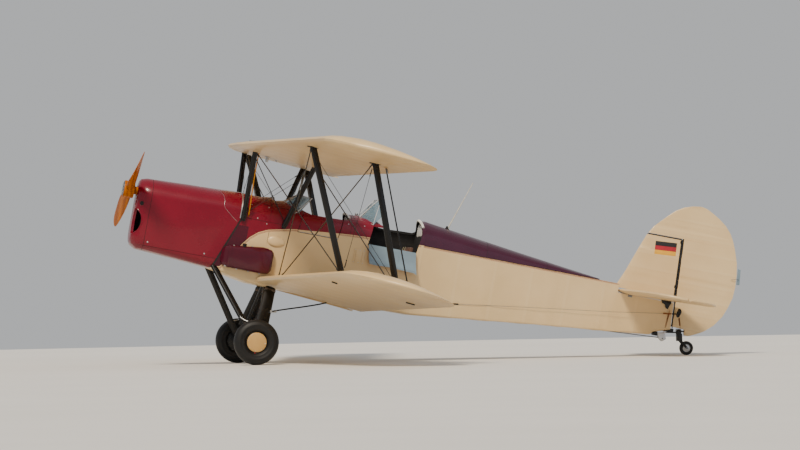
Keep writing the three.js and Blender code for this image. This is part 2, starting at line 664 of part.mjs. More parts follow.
// One section of a tail surface: an elliptic nose up to its thickest place, then a straight taper.
// It gives station and half thickness pairs from the nose to the trailing edge.
const NOSE_STEPS = 5;
function profile({ nose, trail, peakAt, peak, edge }) {
  const rise = Array.from({ length: NOSE_STEPS + 1 }, (_, i) => {
    const turn = (i / NOSE_STEPS) * (Math.PI / 2);
    return [nose + peakAt * (1 - Math.cos(turn)), peak * Math.sin(turn)];
  });
  return [...rise, [trail, edge]];
}
const ringOf = (pairs, point) => [
  ...pairs.map(([station, half]) => point(station, half)),
  ...pairs.slice(1).reverse().map(([station, half]) => point(station, -half)),
];

// Tailplane: nose line, half thickness and the half thickness of its rear edge, from the middle out
const TAILPLANE = [
  { y: 0, nose: 5660, peak: 31, edge: 17 },
  { y: 150, nose: 5664, peak: 31, edge: 17 },
  { y: 700, nose: 5732, peak: 29, edge: 17 },
  { y: 1120, nose: 5812, peak: 25, edge: 16 },
  { y: 1300, nose: 5890, peak: 21, edge: 15 },
  { y: 1385, nose: 5990, peak: 16, edge: 13 },
  { y: 1420, nose: 6110, peak: 11, edge: 9 },
];
const bothSides = (rows) => [...[...rows].slice(1).reverse().map((row) => ({ ...row, y: -row.y })), ...rows];
const tailplane = loft(bothSides(TAILPLANE).map(({ y, nose, peak, edge }) => {
  const trail = ELEVATOR.station - ELEVATOR.round - ELEVATOR.gap;
  const pairs = profile({ nose, trail, peakAt: 0.3 * (trail - nose), peak, edge });
  return ringOf(pairs, (station, half) => at(station, y, ELEVATOR.z + half));
}));
add("tailplane", tailplane, cream);

// Elevator: two halves, each as its trailing edge at some distances from the middle, on one tube
const ELEVATOR_HALF = [
  { y: 64, trail: 6266 }, { y: 76, trail: 6330 }, { y: 205, trail: 6560 }, { y: 285, trail: 6640 },
  { y: 500, trail: 6655 }, { y: 800, trail: 6640 }, { y: 1060, trail: 6590 }, { y: 1240, trail: 6520 },
  { y: 1350, trail: 6430 }, { y: 1405, trail: 6330 }, { y: TAIL_HALF, trail: 6262 },
];
const ELEVATOR_EDGE = 5;
const elevatorHalf = (side) => loft(ELEVATOR_HALF.map(({ y, trail }) => {
  const nose = ELEVATOR.station - ELEVATOR.round;
  const pairs = profile({ nose, trail, peakAt: ELEVATOR.round, peak: ELEVATOR.round, edge: ELEVATOR_EDGE });
  return ringOf(pairs, (station, half) => at(station, side * y, ELEVATOR.z + half));
}));
const tubeEnd = (y) => at(ELEVATOR.station, y, ELEVATOR.z);
const elevatorTube = rod(tubeEnd(-80), tubeEnd(80), 13, 12);
add("elevator", join(elevatorHalf(1), elevatorHalf(-1), elevatorTube), cream);

// Fin and rudder: sections from the foot up. The rudder's top reaches forward over the fin.
const finFoot = ELEVATOR.z + TAILPLANE[0].peak + SEAM;
const FIN = [
  { z: finFoot, nose: 5628, peak: 22, edge: 15 },
  { z: -20, nose: 5640, peak: 22, edge: 15 },
  { z: 140, nose: 5708, peak: 20, edge: 15 },
  { z: 420, nose: 5810, peak: 17, edge: 15 },
  { z: 590, nose: 5878, peak: 15, edge: 14 },
];
const finRing = ({ z, nose, peak, edge }) => {
  const trail = fixedEdge(z);
  const pairs = profile({ nose, trail, peakAt: 0.3 * (trail - nose), peak, edge });
  return ringOf(pairs, (station, half) => at(station, half, z));
};
add("fin", loft(FIN.map(finRing)).subtract(rearRoom), cream);

const RUDDER_ROWS = [
  { z: -457, nose: 6486, trail: 6530 }, { z: -446, nose: 6481, trail: 6566 },
  { z: -392, nose: 6474, trail: 6673 }, { z: -384, trail: 6685 }, { z: -361, trail: 6719 },
  { z: -286, trail: 6802 }, { z: -176, trail: 6879 }, { z: -73, trail: 6921 }, { z: 54, trail: 6957 },
  { z: 175, trail: 6965 }, { z: 316, trail: 6955 }, { z: 444, trail: 6934 }, { z: 598, trail: 6882 },
  { z: 600, nose: 5885, trail: 6880 }, { z: 680, nose: 5934, trail: 6846 },
  { z: 754, nose: 6004, trail: 6803 }, { z: 830, nose: 6078, trail: 6736 },
  { z: 894, nose: 6146, trail: 6650 }, { z: 947, nose: 6233, trail: 6556 },
  { z: 978, nose: 6326, trail: 6494 }, { z: 990, nose: 6400, trail: 6440 },
];
const RUDDER_EDGE = 4;
const rudderRing = ({ z, nose, trail }) => {
  const from = nose ?? rudderHinge(z) - RUDDER.round;
  const peakAt = Math.min(RUDDER.round, 0.4 * (trail - from));
  const peak = Math.min(RUDDER.round, 0.3 * (trail - from));
  const pairs = profile({ nose: from, trail, peakAt, peak, edge: RUDDER_EDGE });
  return ringOf(pairs, (station, half) => at(station, half, z));
};
const RUDDER_HORN = { from: 6360, to: 6385, half: 108, low: -246, high: -232 };
const rudderHorn = box(
  at(RUDDER_HORN.to, -RUDDER_HORN.half, RUDDER_HORN.low),
  at(RUDDER_HORN.from, RUDDER_HORN.half, RUDDER_HORN.high),
);
add("rudder", join(loft(RUDDER_ROWS.map(rudderRing)), rudderHorn), cream);

// Tail wheel: a leaf spring in a clamp under the stern, a sleeve at its end, and the swivelling fork
// in it. The swivel's axis is upright when the aircraft is parked.
const pitch = degToRad(PARKED_PITCH);
const groundZ = (station, z) => -station * Math.sin(pitch) + z * Math.cos(pitch);
const floor = groundZ(WHEEL.station, WHEEL.z) - WHEEL.radius;
const tailWheelZ = (floor + TAIL_WHEEL.radius + TAIL_WHEEL.station * Math.sin(pitch)) / Math.cos(pitch);
const SWIVEL = { station: 6432, z: -470, sleeve: 33, bore: 14, pin: 12, post: 30 };
const swivelAt = (z) => at(SWIVEL.station + (SWIVEL.z - z) * Math.tan(pitch), 0, z);
const upright = (low, high, radius, sides) => rod(swivelAt(low), swivelAt(high), radius, sides);
const crossBox = (from, to, half, low, high) => box(at(to, -half, low), at(from, half, high));
const LEAF = [[6132, -492], [6298, -456], [6412, -437]];
const leaf = loft(LEAF.map(([station, z]) => [[-30, -8], [30, -8], [30, 8], [-30, 8]].map(
  ([y, up]) => at(station, y, z + up))));
const BRACKET = [[6186, -490], [6262, -462], [6294, -533], [6252, -568], [6214, -540]];
const brackets = [[-37, -29], [29, 37]].map(([from, to]) => plate(BRACKET, from, to));
const forward = crossBox(6127, 6184, 40, -516, -470);
const sleeve = upright(-455, -419, SWIVEL.sleeve, 20).subtract(upright(-500, -390, SWIVEL.bore, 16));
const leafRoom = upright(-500, -380, SWIVEL.sleeve - 4, 20);
add("tail_spring", join(
  join(leaf, forward, ...brackets).subtract(rearRoom).subtract(leafRoom), sleeve), steel);

const FORK = { inner: 33, outer: 41, half: 20, axle: 9 };
const forkArm = (side) => loft([swivelAt(-505), at(TAIL_WHEEL.station, 0, tailWheelZ)].map((p) => [
  [-FORK.half, FORK.inner], [FORK.half, FORK.inner], [FORK.half, FORK.outer], [-FORK.half, FORK.outer],
].map(([x, y]) => p.clone().add(new THREE.Vector3(x, side * y, 0)))));
const postFoot = swivelAt(-528);
const forkBridge = crossBox(-postFoot.x - 24, -postFoot.x + 18, FORK.outer, -528, -506);
const ARM = { long: 22, half: 106, low: -407, high: -397 };
const armStation = -swivelAt(ARM.high).x;
const steeringArm = crossBox(
  armStation - ARM.long / 2, armStation + ARM.long / 2, ARM.half, ARM.low, ARM.high);
const axleEnd = (y) => at(TAIL_WHEEL.station, y, tailWheelZ);
add("tail_fork", join(
  upright(-528, -461, SWIVEL.post, 20), upright(-470, -400, SWIVEL.pin, 16), steeringArm, forkBridge,
  forkArm(1), forkArm(-1), rod(axleEnd(-FORK.outer), axleEnd(FORK.outer), FORK.axle, 12),
), black);
const tailHalf = TAIL_WHEEL.width / 2;
add("tail_wheel", turned([
  [10.5, -tailHalf], [34, -tailHalf], [40, -20], [60, -25], [72, -20], [TAIL_WHEEL.radius, -9],
  [TAIL_WHEEL.radius, 9], [72, 20], [60, 25], [40, 20], [34, tailHalf], [10.5, tailHalf], [10.5, -tailHalf],
], at(TAIL_WHEEL.station, 0, tailWheelZ), 32), rubber);

// Main landing gear: front strut, faired shock leg, half axle and stub axle in one piece a side
const GEAR = {
  knee: 720, piston: 17, into: 40,
  front: { top: [1114, 300], chord: 72, thick: 34 },
  leg: { top: [1772, 400, -790], foot: [1706, 690, -1240], chord: 116, footChord: 162, thick: 52 },
  brace: { top: [1745, 90], radius: 16 },
};
const TYRE_SIDE = [[118, 46], [138, 64], [166, 75], [196, 78], [222, 67], [240, 43]]; // radius and y
SIDES.forEach(([hand, side]) => {
  const axle = (y) => at(WHEEL.station, side * y, WHEEL.z);
  const knee = axle(GEAR.knee);
  const belly = (station, y) => at(station, side * y, read(FUSELAGE, station, "bottom") + GEAR.into);
  const { front, brace, leg: { top, foot, chord, footChord, thick } } = GEAR;
  const legFoot = at(foot[0], side * foot[1], foot[2]);
  const gear = join(
    strut(belly(...front.top), knee, front.chord, front.thick),
    strut(at(top[0], side * top[1], top[2]), legFoot, chord, thick, footChord),
    rod(legFoot, knee, GEAR.piston, 12),
    rod(belly(...brace.top), knee, brace.radius, 12),
    rod(axle(AXLE.inner), axle(AXLE.outer), AXLE.radius, 20),
  );
  add(`gear_${hand}`, gear.subtract(panel(LOWER, side, -SEAM)).subtract(hullRoom), black);

  const centre = axle(WHEEL.y);
  const { rim, radius } = WHEEL;
  const wall = (sign) => TYRE_SIDE.map(([r, y]) => [r, sign * y]);
  const tyre = [...wall(-1), [radius, 0], ...wall(1).reverse(), [rim, -TYRE_SIDE[0][1]]];
  add(`tyre_${hand}`, turned(tyre, centre, 44), rubber);
  const bore = AXLE.outer - WHEEL.y + 3;
  const seat = rim - SEAM;
  add(`hub_${hand}`, turned([
    [0, side * 68], [40, side * 67], [80, side * 62], [seat - 8, side * 50], [seat, side * 42],
    [seat, -side * 42], [60, -side * 50], [AXLE.radius + 1, -side * 55], [AXLE.radius + 1, side * bore],
    [0, side * bore],
  ], centre, 36), sand);
});

// Propeller: two wooden blades, a boss and a steel plate, on the engine's shaft
const BLADE = [
  { r: 40, chord: 92, thick: 92, angle: 80 },
  { r: 130, chord: 104, thick: 70, angle: 62 },
  { r: 200, chord: 117, thick: 55, angle: 53 },
  { r: 280, chord: 130, thick: 42, angle: 46 },
  { r: 480, chord: 152, thick: 28, angle: 32 },
  { r: 690, chord: 150, thick: 19, angle: 23 },
  { r: 845, chord: 128, thick: 13, angle: 19 },
  { r: 925, chord: 92, thick: 9, angle: 17 },
  { r: PROP.radius, chord: 38, thick: 5, angle: 16 },
];
const BLADE_MIDDLE = 70; // station of the blades' middle
const bladeRing = (row, up) => Array.from({ length: 10 }, (_, i) => {
  const turn = (i / 10) * 2 * Math.PI;
  const [c, t] = [0.5 * row.chord * Math.cos(turn), 0.5 * row.thick * Math.sin(turn)];
  const twist = degToRad(row.angle);
  const fore = c * Math.sin(twist) - t * Math.cos(twist);
  const side = c * Math.cos(twist) + t * Math.sin(twist);
  return at(BLADE_MIDDLE - fore, up * side, up * row.r);
});
const propeller = join(
  ...[1, -1].map((up) => loft(BLADE.map((row) => bladeRing(row, up)))),
  rod(at(14, 0, 0), at(128, 0, 0), 92, 24),
  rod(at(0, 0, 0), at(14, 0, 0), 80, 24),
  rod(at(128, 0, 0), at(SHAFT.end, 0, 0), SHAFT.radius, 20),
);
add("propeller", solid(geometryOf(propeller).rotateX(-degToRad(PROP.turn))), wood);

// The body leans back on its tail wheel; its box is then centred over the origin
const group = new THREE.Group();
body.rotation.y = -pitch;
group.add(body);
group.updateMatrixWorld(true);
const bounds = new THREE.Box3().setFromObject(group, true);
body.position.set(-(bounds.min.x + bounds.max.x) / 2, 0, -bounds.min.z);

export default group;
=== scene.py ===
# A two-seat open-cockpit training biplane, parked on its main wheels and tail wheel.
# Its pieces are modelled in the aircraft's own frame, in metres: +X forward along the propeller's
# axis, +Y left, +Z up, with the origin at the middle of the hub's face. Places are written in
# millimetres, as a station aft of that face, a distance left of the middle and a height over the
# axis. Each finished piece is then turned nose up into the parked frame.
import json
import math

import bpy
from mathutils import Matrix, Vector


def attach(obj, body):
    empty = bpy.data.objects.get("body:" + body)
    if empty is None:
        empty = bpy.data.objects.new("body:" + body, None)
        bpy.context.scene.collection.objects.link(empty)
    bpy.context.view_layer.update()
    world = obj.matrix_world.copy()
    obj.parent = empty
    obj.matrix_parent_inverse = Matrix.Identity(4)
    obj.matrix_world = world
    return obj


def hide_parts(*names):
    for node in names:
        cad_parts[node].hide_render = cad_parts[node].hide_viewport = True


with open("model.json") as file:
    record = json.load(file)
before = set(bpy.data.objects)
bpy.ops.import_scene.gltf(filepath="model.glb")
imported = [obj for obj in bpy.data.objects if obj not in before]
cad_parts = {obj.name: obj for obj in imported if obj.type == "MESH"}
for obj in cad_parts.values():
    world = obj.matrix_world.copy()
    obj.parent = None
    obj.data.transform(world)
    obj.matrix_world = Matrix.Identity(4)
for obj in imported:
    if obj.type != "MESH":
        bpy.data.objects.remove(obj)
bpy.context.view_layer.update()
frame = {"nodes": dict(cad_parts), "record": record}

# Floor, light and camera
# A round pale floor under an even, overcast sky, with a soft sun from the front left and a faint
# fill light. A long lens looks at the left side from far away, as in the photograph.
FLOOR_RADIUS = 27.0
FLOOR_MIDDLE = (0, 12, 0)
FLOOR_DARK, FLOOR_LIGHT = "d9d7d2", "dedcd8"
SKY_COLOUR = "eceef0"
SKY_STRENGTH = 0.6
SUN = {"energy": 3.6, "soft": 12, "turn": (38, 0, 152), "colour": "fff1dc"}
FILL = {"energy": 0.35, "soft": 60, "turn": (62, 0, 215), "colour": "dfe9ff"}
CAMERA = {"place": (12.2945, 83.0, 1.4004), "turn": (90.0737, 1.0341, 171.8085), "lens": 339.9,
          "sensor": 36, "sees_to": 400}


def linear(text, alpha=1.0):
    """A colour from its sRGB hex digits"""
    parts = [int(text[i:i + 2], 16) / 255 for i in (0, 2, 4)]
    return [p / 12.92 if p <= 0.04045 else ((p + 0.055) / 1.055) ** 2.4 for p in parts] + [alpha]


def node(tree, kind, stops=(), **values):
    """Adds a node. A value is one of its settings, an input's own value, or what feeds that input"""
    made = tree.nodes.new("ShaderNode" + kind)
    for i, (place, colour) in enumerate(stops):
        stop = made.color_ramp.elements[i] if i < 2 else made.color_ramp.elements.new(place)
        stop.position, stop.color = place, linear(colour)
    for name, value in values.items():
        if name.islower():
            setattr(made, name, value)
            continue
        socket = made.inputs[name.replace("_", " ")]
        if isinstance(value, bpy.types.NodeSocket):
            tree.links.new(value, socket)
        else:
            socket.default_value = value
    return made.outputs[0]


def start_material(name, **constants):
    """A new material with one shader, whose constant values are set on its own sockets"""
    material = bpy.data.materials.new(name)
    material.use_nodes = True
    shader = material.node_tree.nodes["Principled BSDF"]
    for socket, value in constants.items():
        shader.inputs[socket.replace("_", " ")].default_value = value
    place = material.node_tree.nodes.new("ShaderNodeTexCoord").outputs["Object"]
    return material, material.node_tree, place


def feed(tree, **sources):
    """Links what the shader's colour, roughness and normal come from"""
    for socket, source in sources.items():
        tree.links.new(source, tree.nodes["Principled BSDF"].inputs[socket.replace("_", " ")])


def clouded(name, dark, light, scale, detail=2.0, ends=(0.3, 0.7), rough=None, relief=None,
            **constants):
    """A new material whose colour drifts between two tones, as its roughness and relief may too"""
    material, tree, place = start_material(name, **constants)
    clouds = node(tree, "TexNoise", Vector=place, Scale=scale, Detail=detail)
    feed(tree, Base_Color=node(tree, "ValToRGB", Fac=clouds, stops=((ends[0], dark), (ends[1], light))))
    if rough:
        feed(tree, Roughness=node(tree, "MapRange", Value=clouds, To_Min=rough[0], To_Max=rough[1]))
    if relief:
        feed(tree, Normal=node(tree, "Bump", Height=clouds, Strength=relief[0], Distance=relief[1]))
    return material


bpy.ops.object.select_all(action="DESELECT")
bpy.ops.mesh.primitive_circle_add(vertices=128, radius=FLOOR_RADIUS, fill_type="NGON",
                                  location=FLOOR_MIDDLE)
floor = bpy.context.object
floor.name = "floor"
# power-floated concrete, painted: even, with faint clouds a few metres wide
floor.data.materials.append(clouded("painted_concrete", FLOOR_DARK, FLOOR_LIGHT, 0.35, 3.0, (0.3, 0.8),
                                    Roughness=0.75))

world = bpy.data.worlds.new("studio")
world.use_nodes = True
world.node_tree.nodes["Background"].inputs["Color"].default_value = linear(SKY_COLOUR)
world.node_tree.nodes["Background"].inputs["Strength"].default_value = SKY_STRENGTH
bpy.context.scene.world = world
for name, lamp in (("sun", SUN), ("fill", FILL)):
    bpy.ops.object.light_add(type="SUN", rotation=[math.radians(a) for a in lamp["turn"]])
    light = bpy.context.object
    light.name = name
    light.data.energy = lamp["energy"]
    light.data.angle = math.radians(lamp["soft"])
    light.data.color = linear(lamp["colour"])[:3]
bpy.ops.object.camera_add(location=CAMERA["place"], rotation=[math.radians(a) for a in CAMERA["turn"]])
camera = bpy.context.object
camera.data.lens = CAMERA["lens"]
camera.data.sensor_width = CAMERA["sensor"]
camera.data.clip_end = CAMERA["sees_to"]
bpy.context.scene.camera = camera

# Cowling and engine
# Beaten aluminium sheet around the engine in glossy burgundy enamel: a nose ring with the air
# intake, side panels on a hinge along the top, and a lower tray held by turn fasteners. The engine
# behind it is one block on two bearers and shows only through the intake.
MM = 0.001
PITCH = math.radians(11.6)
REACH = 3000  # mm from the middle, clear of any skin that a line is sent to
HUB = Vector(frame["record"]["mounts"][0]["pos_m"])
BODY = Matrix.Translation(HUB) @ Matrix.Rotation(-PITCH, 4, "Y")
X, Y, Z = Vector((1, 0, 0)), Vector((0, 1, 0)), Vector((0, 0, 1))
BURGUNDY, BURGUNDY_DARK = "78001f", "6c001c"
RING_JOINT = 316
TRAY_JOINT = -583
SHEET_JOINT = (4 * MM, -2 * MM)
REAR_STRIP = {"from": 1304, "foot": -95, "thick": 2.5}
TOP_HINGE = [(RING_JOINT + 6, 156), (1296, 190.5)]
PANEL_SEAM = [(1043, 169), (1075, 145), (1097, 114), (1112, 62), (1114, 16), (1135, -20),
              (1193, -69), (1240, -108), (1284, -138)]
FASTENERS = [(357, -540), (991, -553)]
INTAKE = {"y": 160, "z": -335, "wide": 60, "tall": 143, "rim": 6}
AIR_HOLE = {"y": 110, "z": -130, "wide": 30, "tall": 30, "rim": 4}
CORNER_PORT = {"station": 207, "y": 225, "z": -130, "radius": 27, "turn": 52, "rim": 4,
               "cup": (1.5, -6)}
DUCT = [(300, -16), (420, -40)]  # station, and how much wider than the intake the wall is there


def at(station, y, z):
    """A place in the aircraft's frame, in metres, from millimetres"""
    return Vector((-station, y, z)) * MM


def mirrored(places, side):
    """Places written for the left side: there for side 1, mirrored to the right for side -1"""
    return [at(station, side * y, z) for station, y, z in places]


def only(piece):
    """Selects one piece and nothing else, in object mode"""
    if bpy.context.mode != "OBJECT":
        bpy.ops.object.mode_set(mode="OBJECT")
    bpy.ops.object.select_all(action="DESELECT")
    piece.select_set(True)
    bpy.context.view_layer.objects.active = piece


def edit(piece, kind="FACE", action="SELECT"):
    """Opens a piece in edit mode, with all or none of it selected"""
    only(piece)
    bpy.ops.object.mode_set(mode="EDIT")
    bpy.ops.mesh.select_mode(type=kind)
    bpy.ops.mesh.select_all(action=action)


def done():
    """Closes edit mode"""
    bpy.ops.object.mode_set(mode="OBJECT")


def pick(piece, test):
    """Opens a piece with those faces selected that pass a test of their middle and normal"""
    edit(piece, action="DESELECT")
    done()
    for face in piece.data.polygons:
        face.select = bool(test(face.center, face.normal))
    bpy.ops.object.mode_set(mode="EDIT")


def apply_modifier(piece, kind, **values):
    """Puts a modifier on a piece and makes it part of the mesh"""
    only(piece)
    modifier = piece.modifiers.new(kind.lower(), kind)
    for key, value in values.items():
        setattr(modifier, key, value)
    bpy.ops.object.modifier_apply(modifier=modifier.name)


def joined(name, pieces):
    """Several pieces made one"""
    only(pieces[0])
    for piece in pieces:
        piece.select_set(True)
    if len(pieces) > 1:
        bpy.ops.object.join()
    pieces[0].name = name
    return pieces[0]


def another(piece, name):
    """A copy of a piece with its own mesh"""
    made = bpy.data.objects.new(name, piece.data.copy())
    bpy.context.scene.collection.objects.link(made)
    return made


def solid_copy(name, *nodes, stands=True):
    """A copy of some solids of the part, merged, in the aircraft's frame, that stands for them"""
    copies = []
    for source in nodes:
        piece = another(frame["nodes"][source], name)
        piece.data.materials.clear()
        only(piece)
        bpy.ops.mesh.customdata_custom_splitnormals_clear()
        copies.append(piece)
    piece = joined(name, copies)
    piece.data.transform(BODY.inverted())
    edit(piece)
    bpy.ops.mesh.remove_doubles(threshold=1e-5)
    done()
    if stands:
        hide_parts(*nodes)
    bpy.context.view_layer.update()
    return piece


def cut(piece, point, normal, **drop):
    """Divides a piece's faces along a plane. drop may name a side that is taken off"""
    edit(piece)
    bpy.ops.mesh.bisect(plane_co=point, plane_no=normal, threshold=1e-6, **drop)
    done()


def painted(piece, index, test):
    """Gives another of a piece's materials to the faces that pass a test of their middle and normal"""
    for face in piece.data.polygons:
        if test(face.center, face.normal):
            face.material_index = index


def raised(piece, test, height, index=None):
    """Raises or sinks the faces that pass a test, and may give them another of the materials"""
    pick(piece, test)
    bpy.ops.mesh.extrude_region_shrink_fatten(TRANSFORM_OT_shrink_fatten={"value": height})
    done()
    if index is not None:
        for face in piece.data.polygons:
            if face.select:
                face.material_index = index


def strip(piece, point, normal, width, height, where=lambda middle, face: True, index=None):
    """Raises or sinks a strip of a skin along a plane, as a tape, a lap or a joint of two sheets"""
    for side in (-1, 1):
        cut(piece, point + normal * (side * width / 2), normal)
    raised(piece, lambda middle, face: abs((middle - point).dot(normal)) < width / 2
           and abs(face.dot(normal)) < 0.8 and where(middle, face), height, index)


def patch(source, name, planes, thick, keep=None):
    """A thin sheet that lies on a skin. What is ahead of each plane, a point and a normal, goes"""
    piece = another(source, name)
    piece.data.materials.clear()
    for face in piece.data.polygons:
        face.material_index = 0
    if keep is not None:
        pick(piece, lambda middle, face: not keep(middle, face))
        bpy.ops.mesh.delete(type="FACE")
        done()
    for point, normal in planes:
        cut(piece, point, normal, clear_outer=True)
    apply_modifier(piece, "SOLIDIFY", thickness=thick, offset=1)
    return piece


def soften(piece, width, segments=2, angle=35):
    """Rounds the sharp edges a little, so that they catch the light"""
    apply_modifier(piece, "BEVEL", width=width, segments=segments, limit_method="ANGLE",
                   angle_limit=math.radians(angle))


def fit(piece, body, slot, *materials, angle=32):
    """Gives a finished piece its materials and puts it on the body of the aircraft that carries it"""
    for material in materials:
        piece.data.materials.append(material)
    piece.data.transform(BODY)
    only(piece)
    bpy.ops.object.shade_smooth_by_angle(angle=math.radians(angle))
    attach(piece, body)
    return piece


def bar(name, a, b, radius, sides=16, bevel=0.0, end_radius=None):
    """A round bar between two places, tapered where it has a second radius"""
    along = b - a
    bpy.ops.object.select_all(action="DESELECT")
    bpy.ops.mesh.primitive_cone_add(
        vertices=sides, radius1=radius, radius2=end_radius or radius, depth=along.length,
        location=(a + b) / 2, rotation=along.to_track_quat("Z", "Y").to_euler())
    piece = bpy.context.object
    piece.name = name
    bpy.ops.object.transform_apply(location=True, rotation=True, scale=True)
    if bevel:
        soften(piece, bevel, angle=60)
    return piece


def pipe(name, points, radius, curved=True, closed=False, rounds=3, steps=6):
    """A tube or wire along points"""
    curve = bpy.data.curves.new(name, "CURVE")
    curve.dimensions = "3D"
    line = curve.splines.new("BEZIER" if curved else "POLY")
    places = line.bezier_points if curved else line.points
    places.add(len(points) - 1)
    for spot, point in zip(places, points):
        if curved:
            spot.co = point
            spot.handle_left_type = spot.handle_right_type = "AUTO"
        else:
            spot.co = (*point, 1)
    line.use_cyclic_u = closed
    curve.bevel_depth = radius
    curve.bevel_resolution = rounds
    curve.resolution_u = steps
    curve.use_fill_caps = True
    piece = bpy.data.objects.new(name, curve)
    bpy.context.scene.collection.objects.link(piece)
    only(piece)
    bpy.ops.object.convert(target="MESH")
    return bpy.context.object


def drawn(name, rings):
    """A closed skin drawn out of one face through rings of places, each with as many places"""
    bpy.ops.object.select_all(action="DESELECT")
    bpy.ops.mesh.primitive_circle_add(vertices=len(rings[0]), radius=1, fill_type="NGON")
    piece = bpy.context.object
    piece.name = name
    for spot, place in zip(piece.data.vertices, rings[0]):
        spot.co = place
    for last, ring in zip(rings, rings[1:]):
        bpy.ops.object.mode_set(mode="EDIT")
        bpy.ops.mesh.select_mode(type="FACE")
        bpy.ops.mesh.extrude_region_move()
        done()
        for spot in piece.data.vertices:
            if spot.select:
                nearest = min(range(len(last)), key=lambda i: (last[i] - spot.co).length_squared)
                spot.co = ring[nearest]
    edit(piece)
    bpy.ops.mesh.normals_make_consistent(inside=False)
    done()
    return piece


def studs(name, places, radius, height, sides=12):
    """Round-headed fasteners, one at each place along its direction, joined into one piece"""
    heads = []
    for spot, way in places:
        heads.append(bar(name, spot - way * height, spot + way * height, radius, sides))
        pick(heads[-1], lambda middle, face: face.dot(way) > 0.9)
        bpy.ops.mesh.inset(thickness=radius * 0.35, depth=radius * 0.25)
        done()
    return joined(name, heads)


def struck(piece, start, way, lift=0.0):
    """Where a line first hits a skin, or a little off it, and the way that the skin faces there"""
    hit, spot, normal, _ = piece.ray_cast(start, way)
    if not hit:
        raise ValueError(f"{piece.name}: nothing from {start}")
    return spot + normal * lift, normal


def on_skin(piece, station, z, lift=0.0, side=1):
    """Where a skin is hit by a line from the side"""
    return struck(piece, at(station, side * REACH, z), Y * -side, lift)


def enamel(name, colour, dark, rough=0.24, wave=0.3, coat=0.2):
    """Glossy stoved enamel on beaten sheet: even colour, faintly wavy reflections and thin dust"""
    material, tree, place = start_material(name, Coat_Weight=coat, Coat_Roughness=0.06,
                                           Specular_IOR_Level=0.3)
    dust = node(tree, "TexNoise", Vector=place, Scale=2.2, Detail=6.0, Roughness=0.62)
    tint = node(tree, "ValToRGB", Fac=dust, stops=((0.3, dark), (0.7, colour)))
    shine = node(tree, "MapRange", Value=dust, From_Min=0.3, From_Max=0.75, To_Min=rough,
                 To_Max=rough + 0.08)
    # waves about 200 mm long from beating the sheet, and a 15 mm orange peel in the enamel
    waves = node(tree, "TexNoise", Vector=place, Scale=5.0, Detail=1.0)
    swell = node(tree, "Bump", Height=waves, Strength=wave, Distance=0.004)
    peel = node(tree, "TexNoise", Vector=place, Scale=66.0, Detail=2.0)
    skin = node(tree, "Bump", Height=peel, Strength=0.05, Distance=0.0005, Normal=swell)
    feed(tree, Base_Color=tint, Roughness=shine, Normal=skin)
    return material


def bare_metal(name, colour, dull, rough=0.35, grit=90.0):
    """Bare metal with fine tool marks, and clouds where handling has dulled it"""
    material, tree, place = start_material(name, Metallic=1.0)
    cloud = node(tree, "TexNoise", Vector=place, Scale=14.0, Detail=5.0)
    tone = node(tree, "ValToRGB", Fac=cloud, stops=((0.3, colour), (0.75, dull)))
    shine = node(tree, "MapRange", Value=cloud, To_Min=rough - 0.08, To_Max=rough + 0.22)
    marks = node(tree, "TexNoise", Vector=place, Scale=grit, Detail=2.0)
    feed(tree, Base_Color=tone, Roughness=shine,
         Normal=node(tree, "Bump", Height=marks, Strength=0.12, Distance=0.0005))
    return material


burgundy = enamel("burgundy_enamel", BURGUNDY, BURGUNDY_DARK)
aluminium = bare_metal("brushed_aluminium", "cfd1d3", "a9abad", 0.36)
steel = bare_metal("oiled_steel", "8b8c8e", "6c6d6f", 0.34)
# rough sand-cast iron, darkened by oil and heat
cast_iron = bare_metal("cast_and_oiled_iron", "4d4a47", "383633", 0.5, 40.0)
# matt black: heat-proof paint in ducts and joints, and painted shade in cockpits, holes and gaps
black_lining_and_shade = clouded("matt_black_lining_and_painted_shade", "0e0d0e", "1c1a1b", 30.0, 4.0, relief=(0.2, 0.001), Roughness=0.8)

frame["nodes"]["engine"].data.materials.clear()
frame["nodes"]["engine"].data.materials.append(cast_iron)

cowling = solid_copy("cowling", "cowling")
seam_points = {side: [on_skin(cowling, s, z, 1 * MM, side)[0] for s, z in PANEL_SEAM] for side in (1, -1)}
locks = [on_skin(cowling, s, z, 0, side) for s, z in FASTENERS for side in (1, -1)]
outward = lambda middle, face: face.dot(Vector((0, middle.y, middle.z + 0.25))) > 0.02
behind_ring = lambda middle, face: outward(middle, face) and middle.x < -RING_JOINT * MM
rear_strip = patch(cowling, "cowling_rear_strip", [(at(REAR_STRIP["from"], 0, 0), X),
                                                   (at(0, 0, REAR_STRIP["foot"]), -Z)],
                   REAR_STRIP["thick"] * MM, outward)
strip(cowling, at(RING_JOINT, 0, 0), X, *SHEET_JOINT, outward, 1)
strip(cowling, at(0, 0, TRAY_JOINT), Z, *SHEET_JOINT, behind_ring, 1)
fit(cowling, "airframe", "crimson_paint", burgundy, black_lining_and_shade)
fit(rear_strip, "airframe", "engine_metal", aluminium)
seams = [pipe("seam", seam_points[side], 1.3 * MM) for side in (1, -1)]
fit(joined("cowling_panel_seams", seams), "airframe", "engine_metal", aluminium)
fit(studs("cowling_fasteners", locks, 9 * MM, 4 * MM), "airframe", "engine_metal", aluminium)
top_hinge = bar("cowling_top_hinge", *[at(s, 0, z) for s, z in TOP_HINGE], 4 * MM, 12)
fit(top_hinge, "airframe", "engine_metal", aluminium)

# the rolled edges of the intake and of the air hole beside the hub
nose = solid_copy("nose", "cowling", stands=False)
turns = [i * math.pi / 12 for i in range(24)]
rims = []
for hole in (INTAKE, AIR_HOLE):
    edge = []
    for a in turns:
        y = hole["y"] + (hole["wide"] + hole["rim"] / 2) * math.cos(a)
        z = hole["z"] + (hole["tall"] + hole["rim"] / 2) * math.sin(a)
        edge.append(struck(nose, at(-REACH, y, z), -X, -1 * MM)[0])
    rims.append(pipe("rim", edge, hole["rim"] * MM, closed=True))
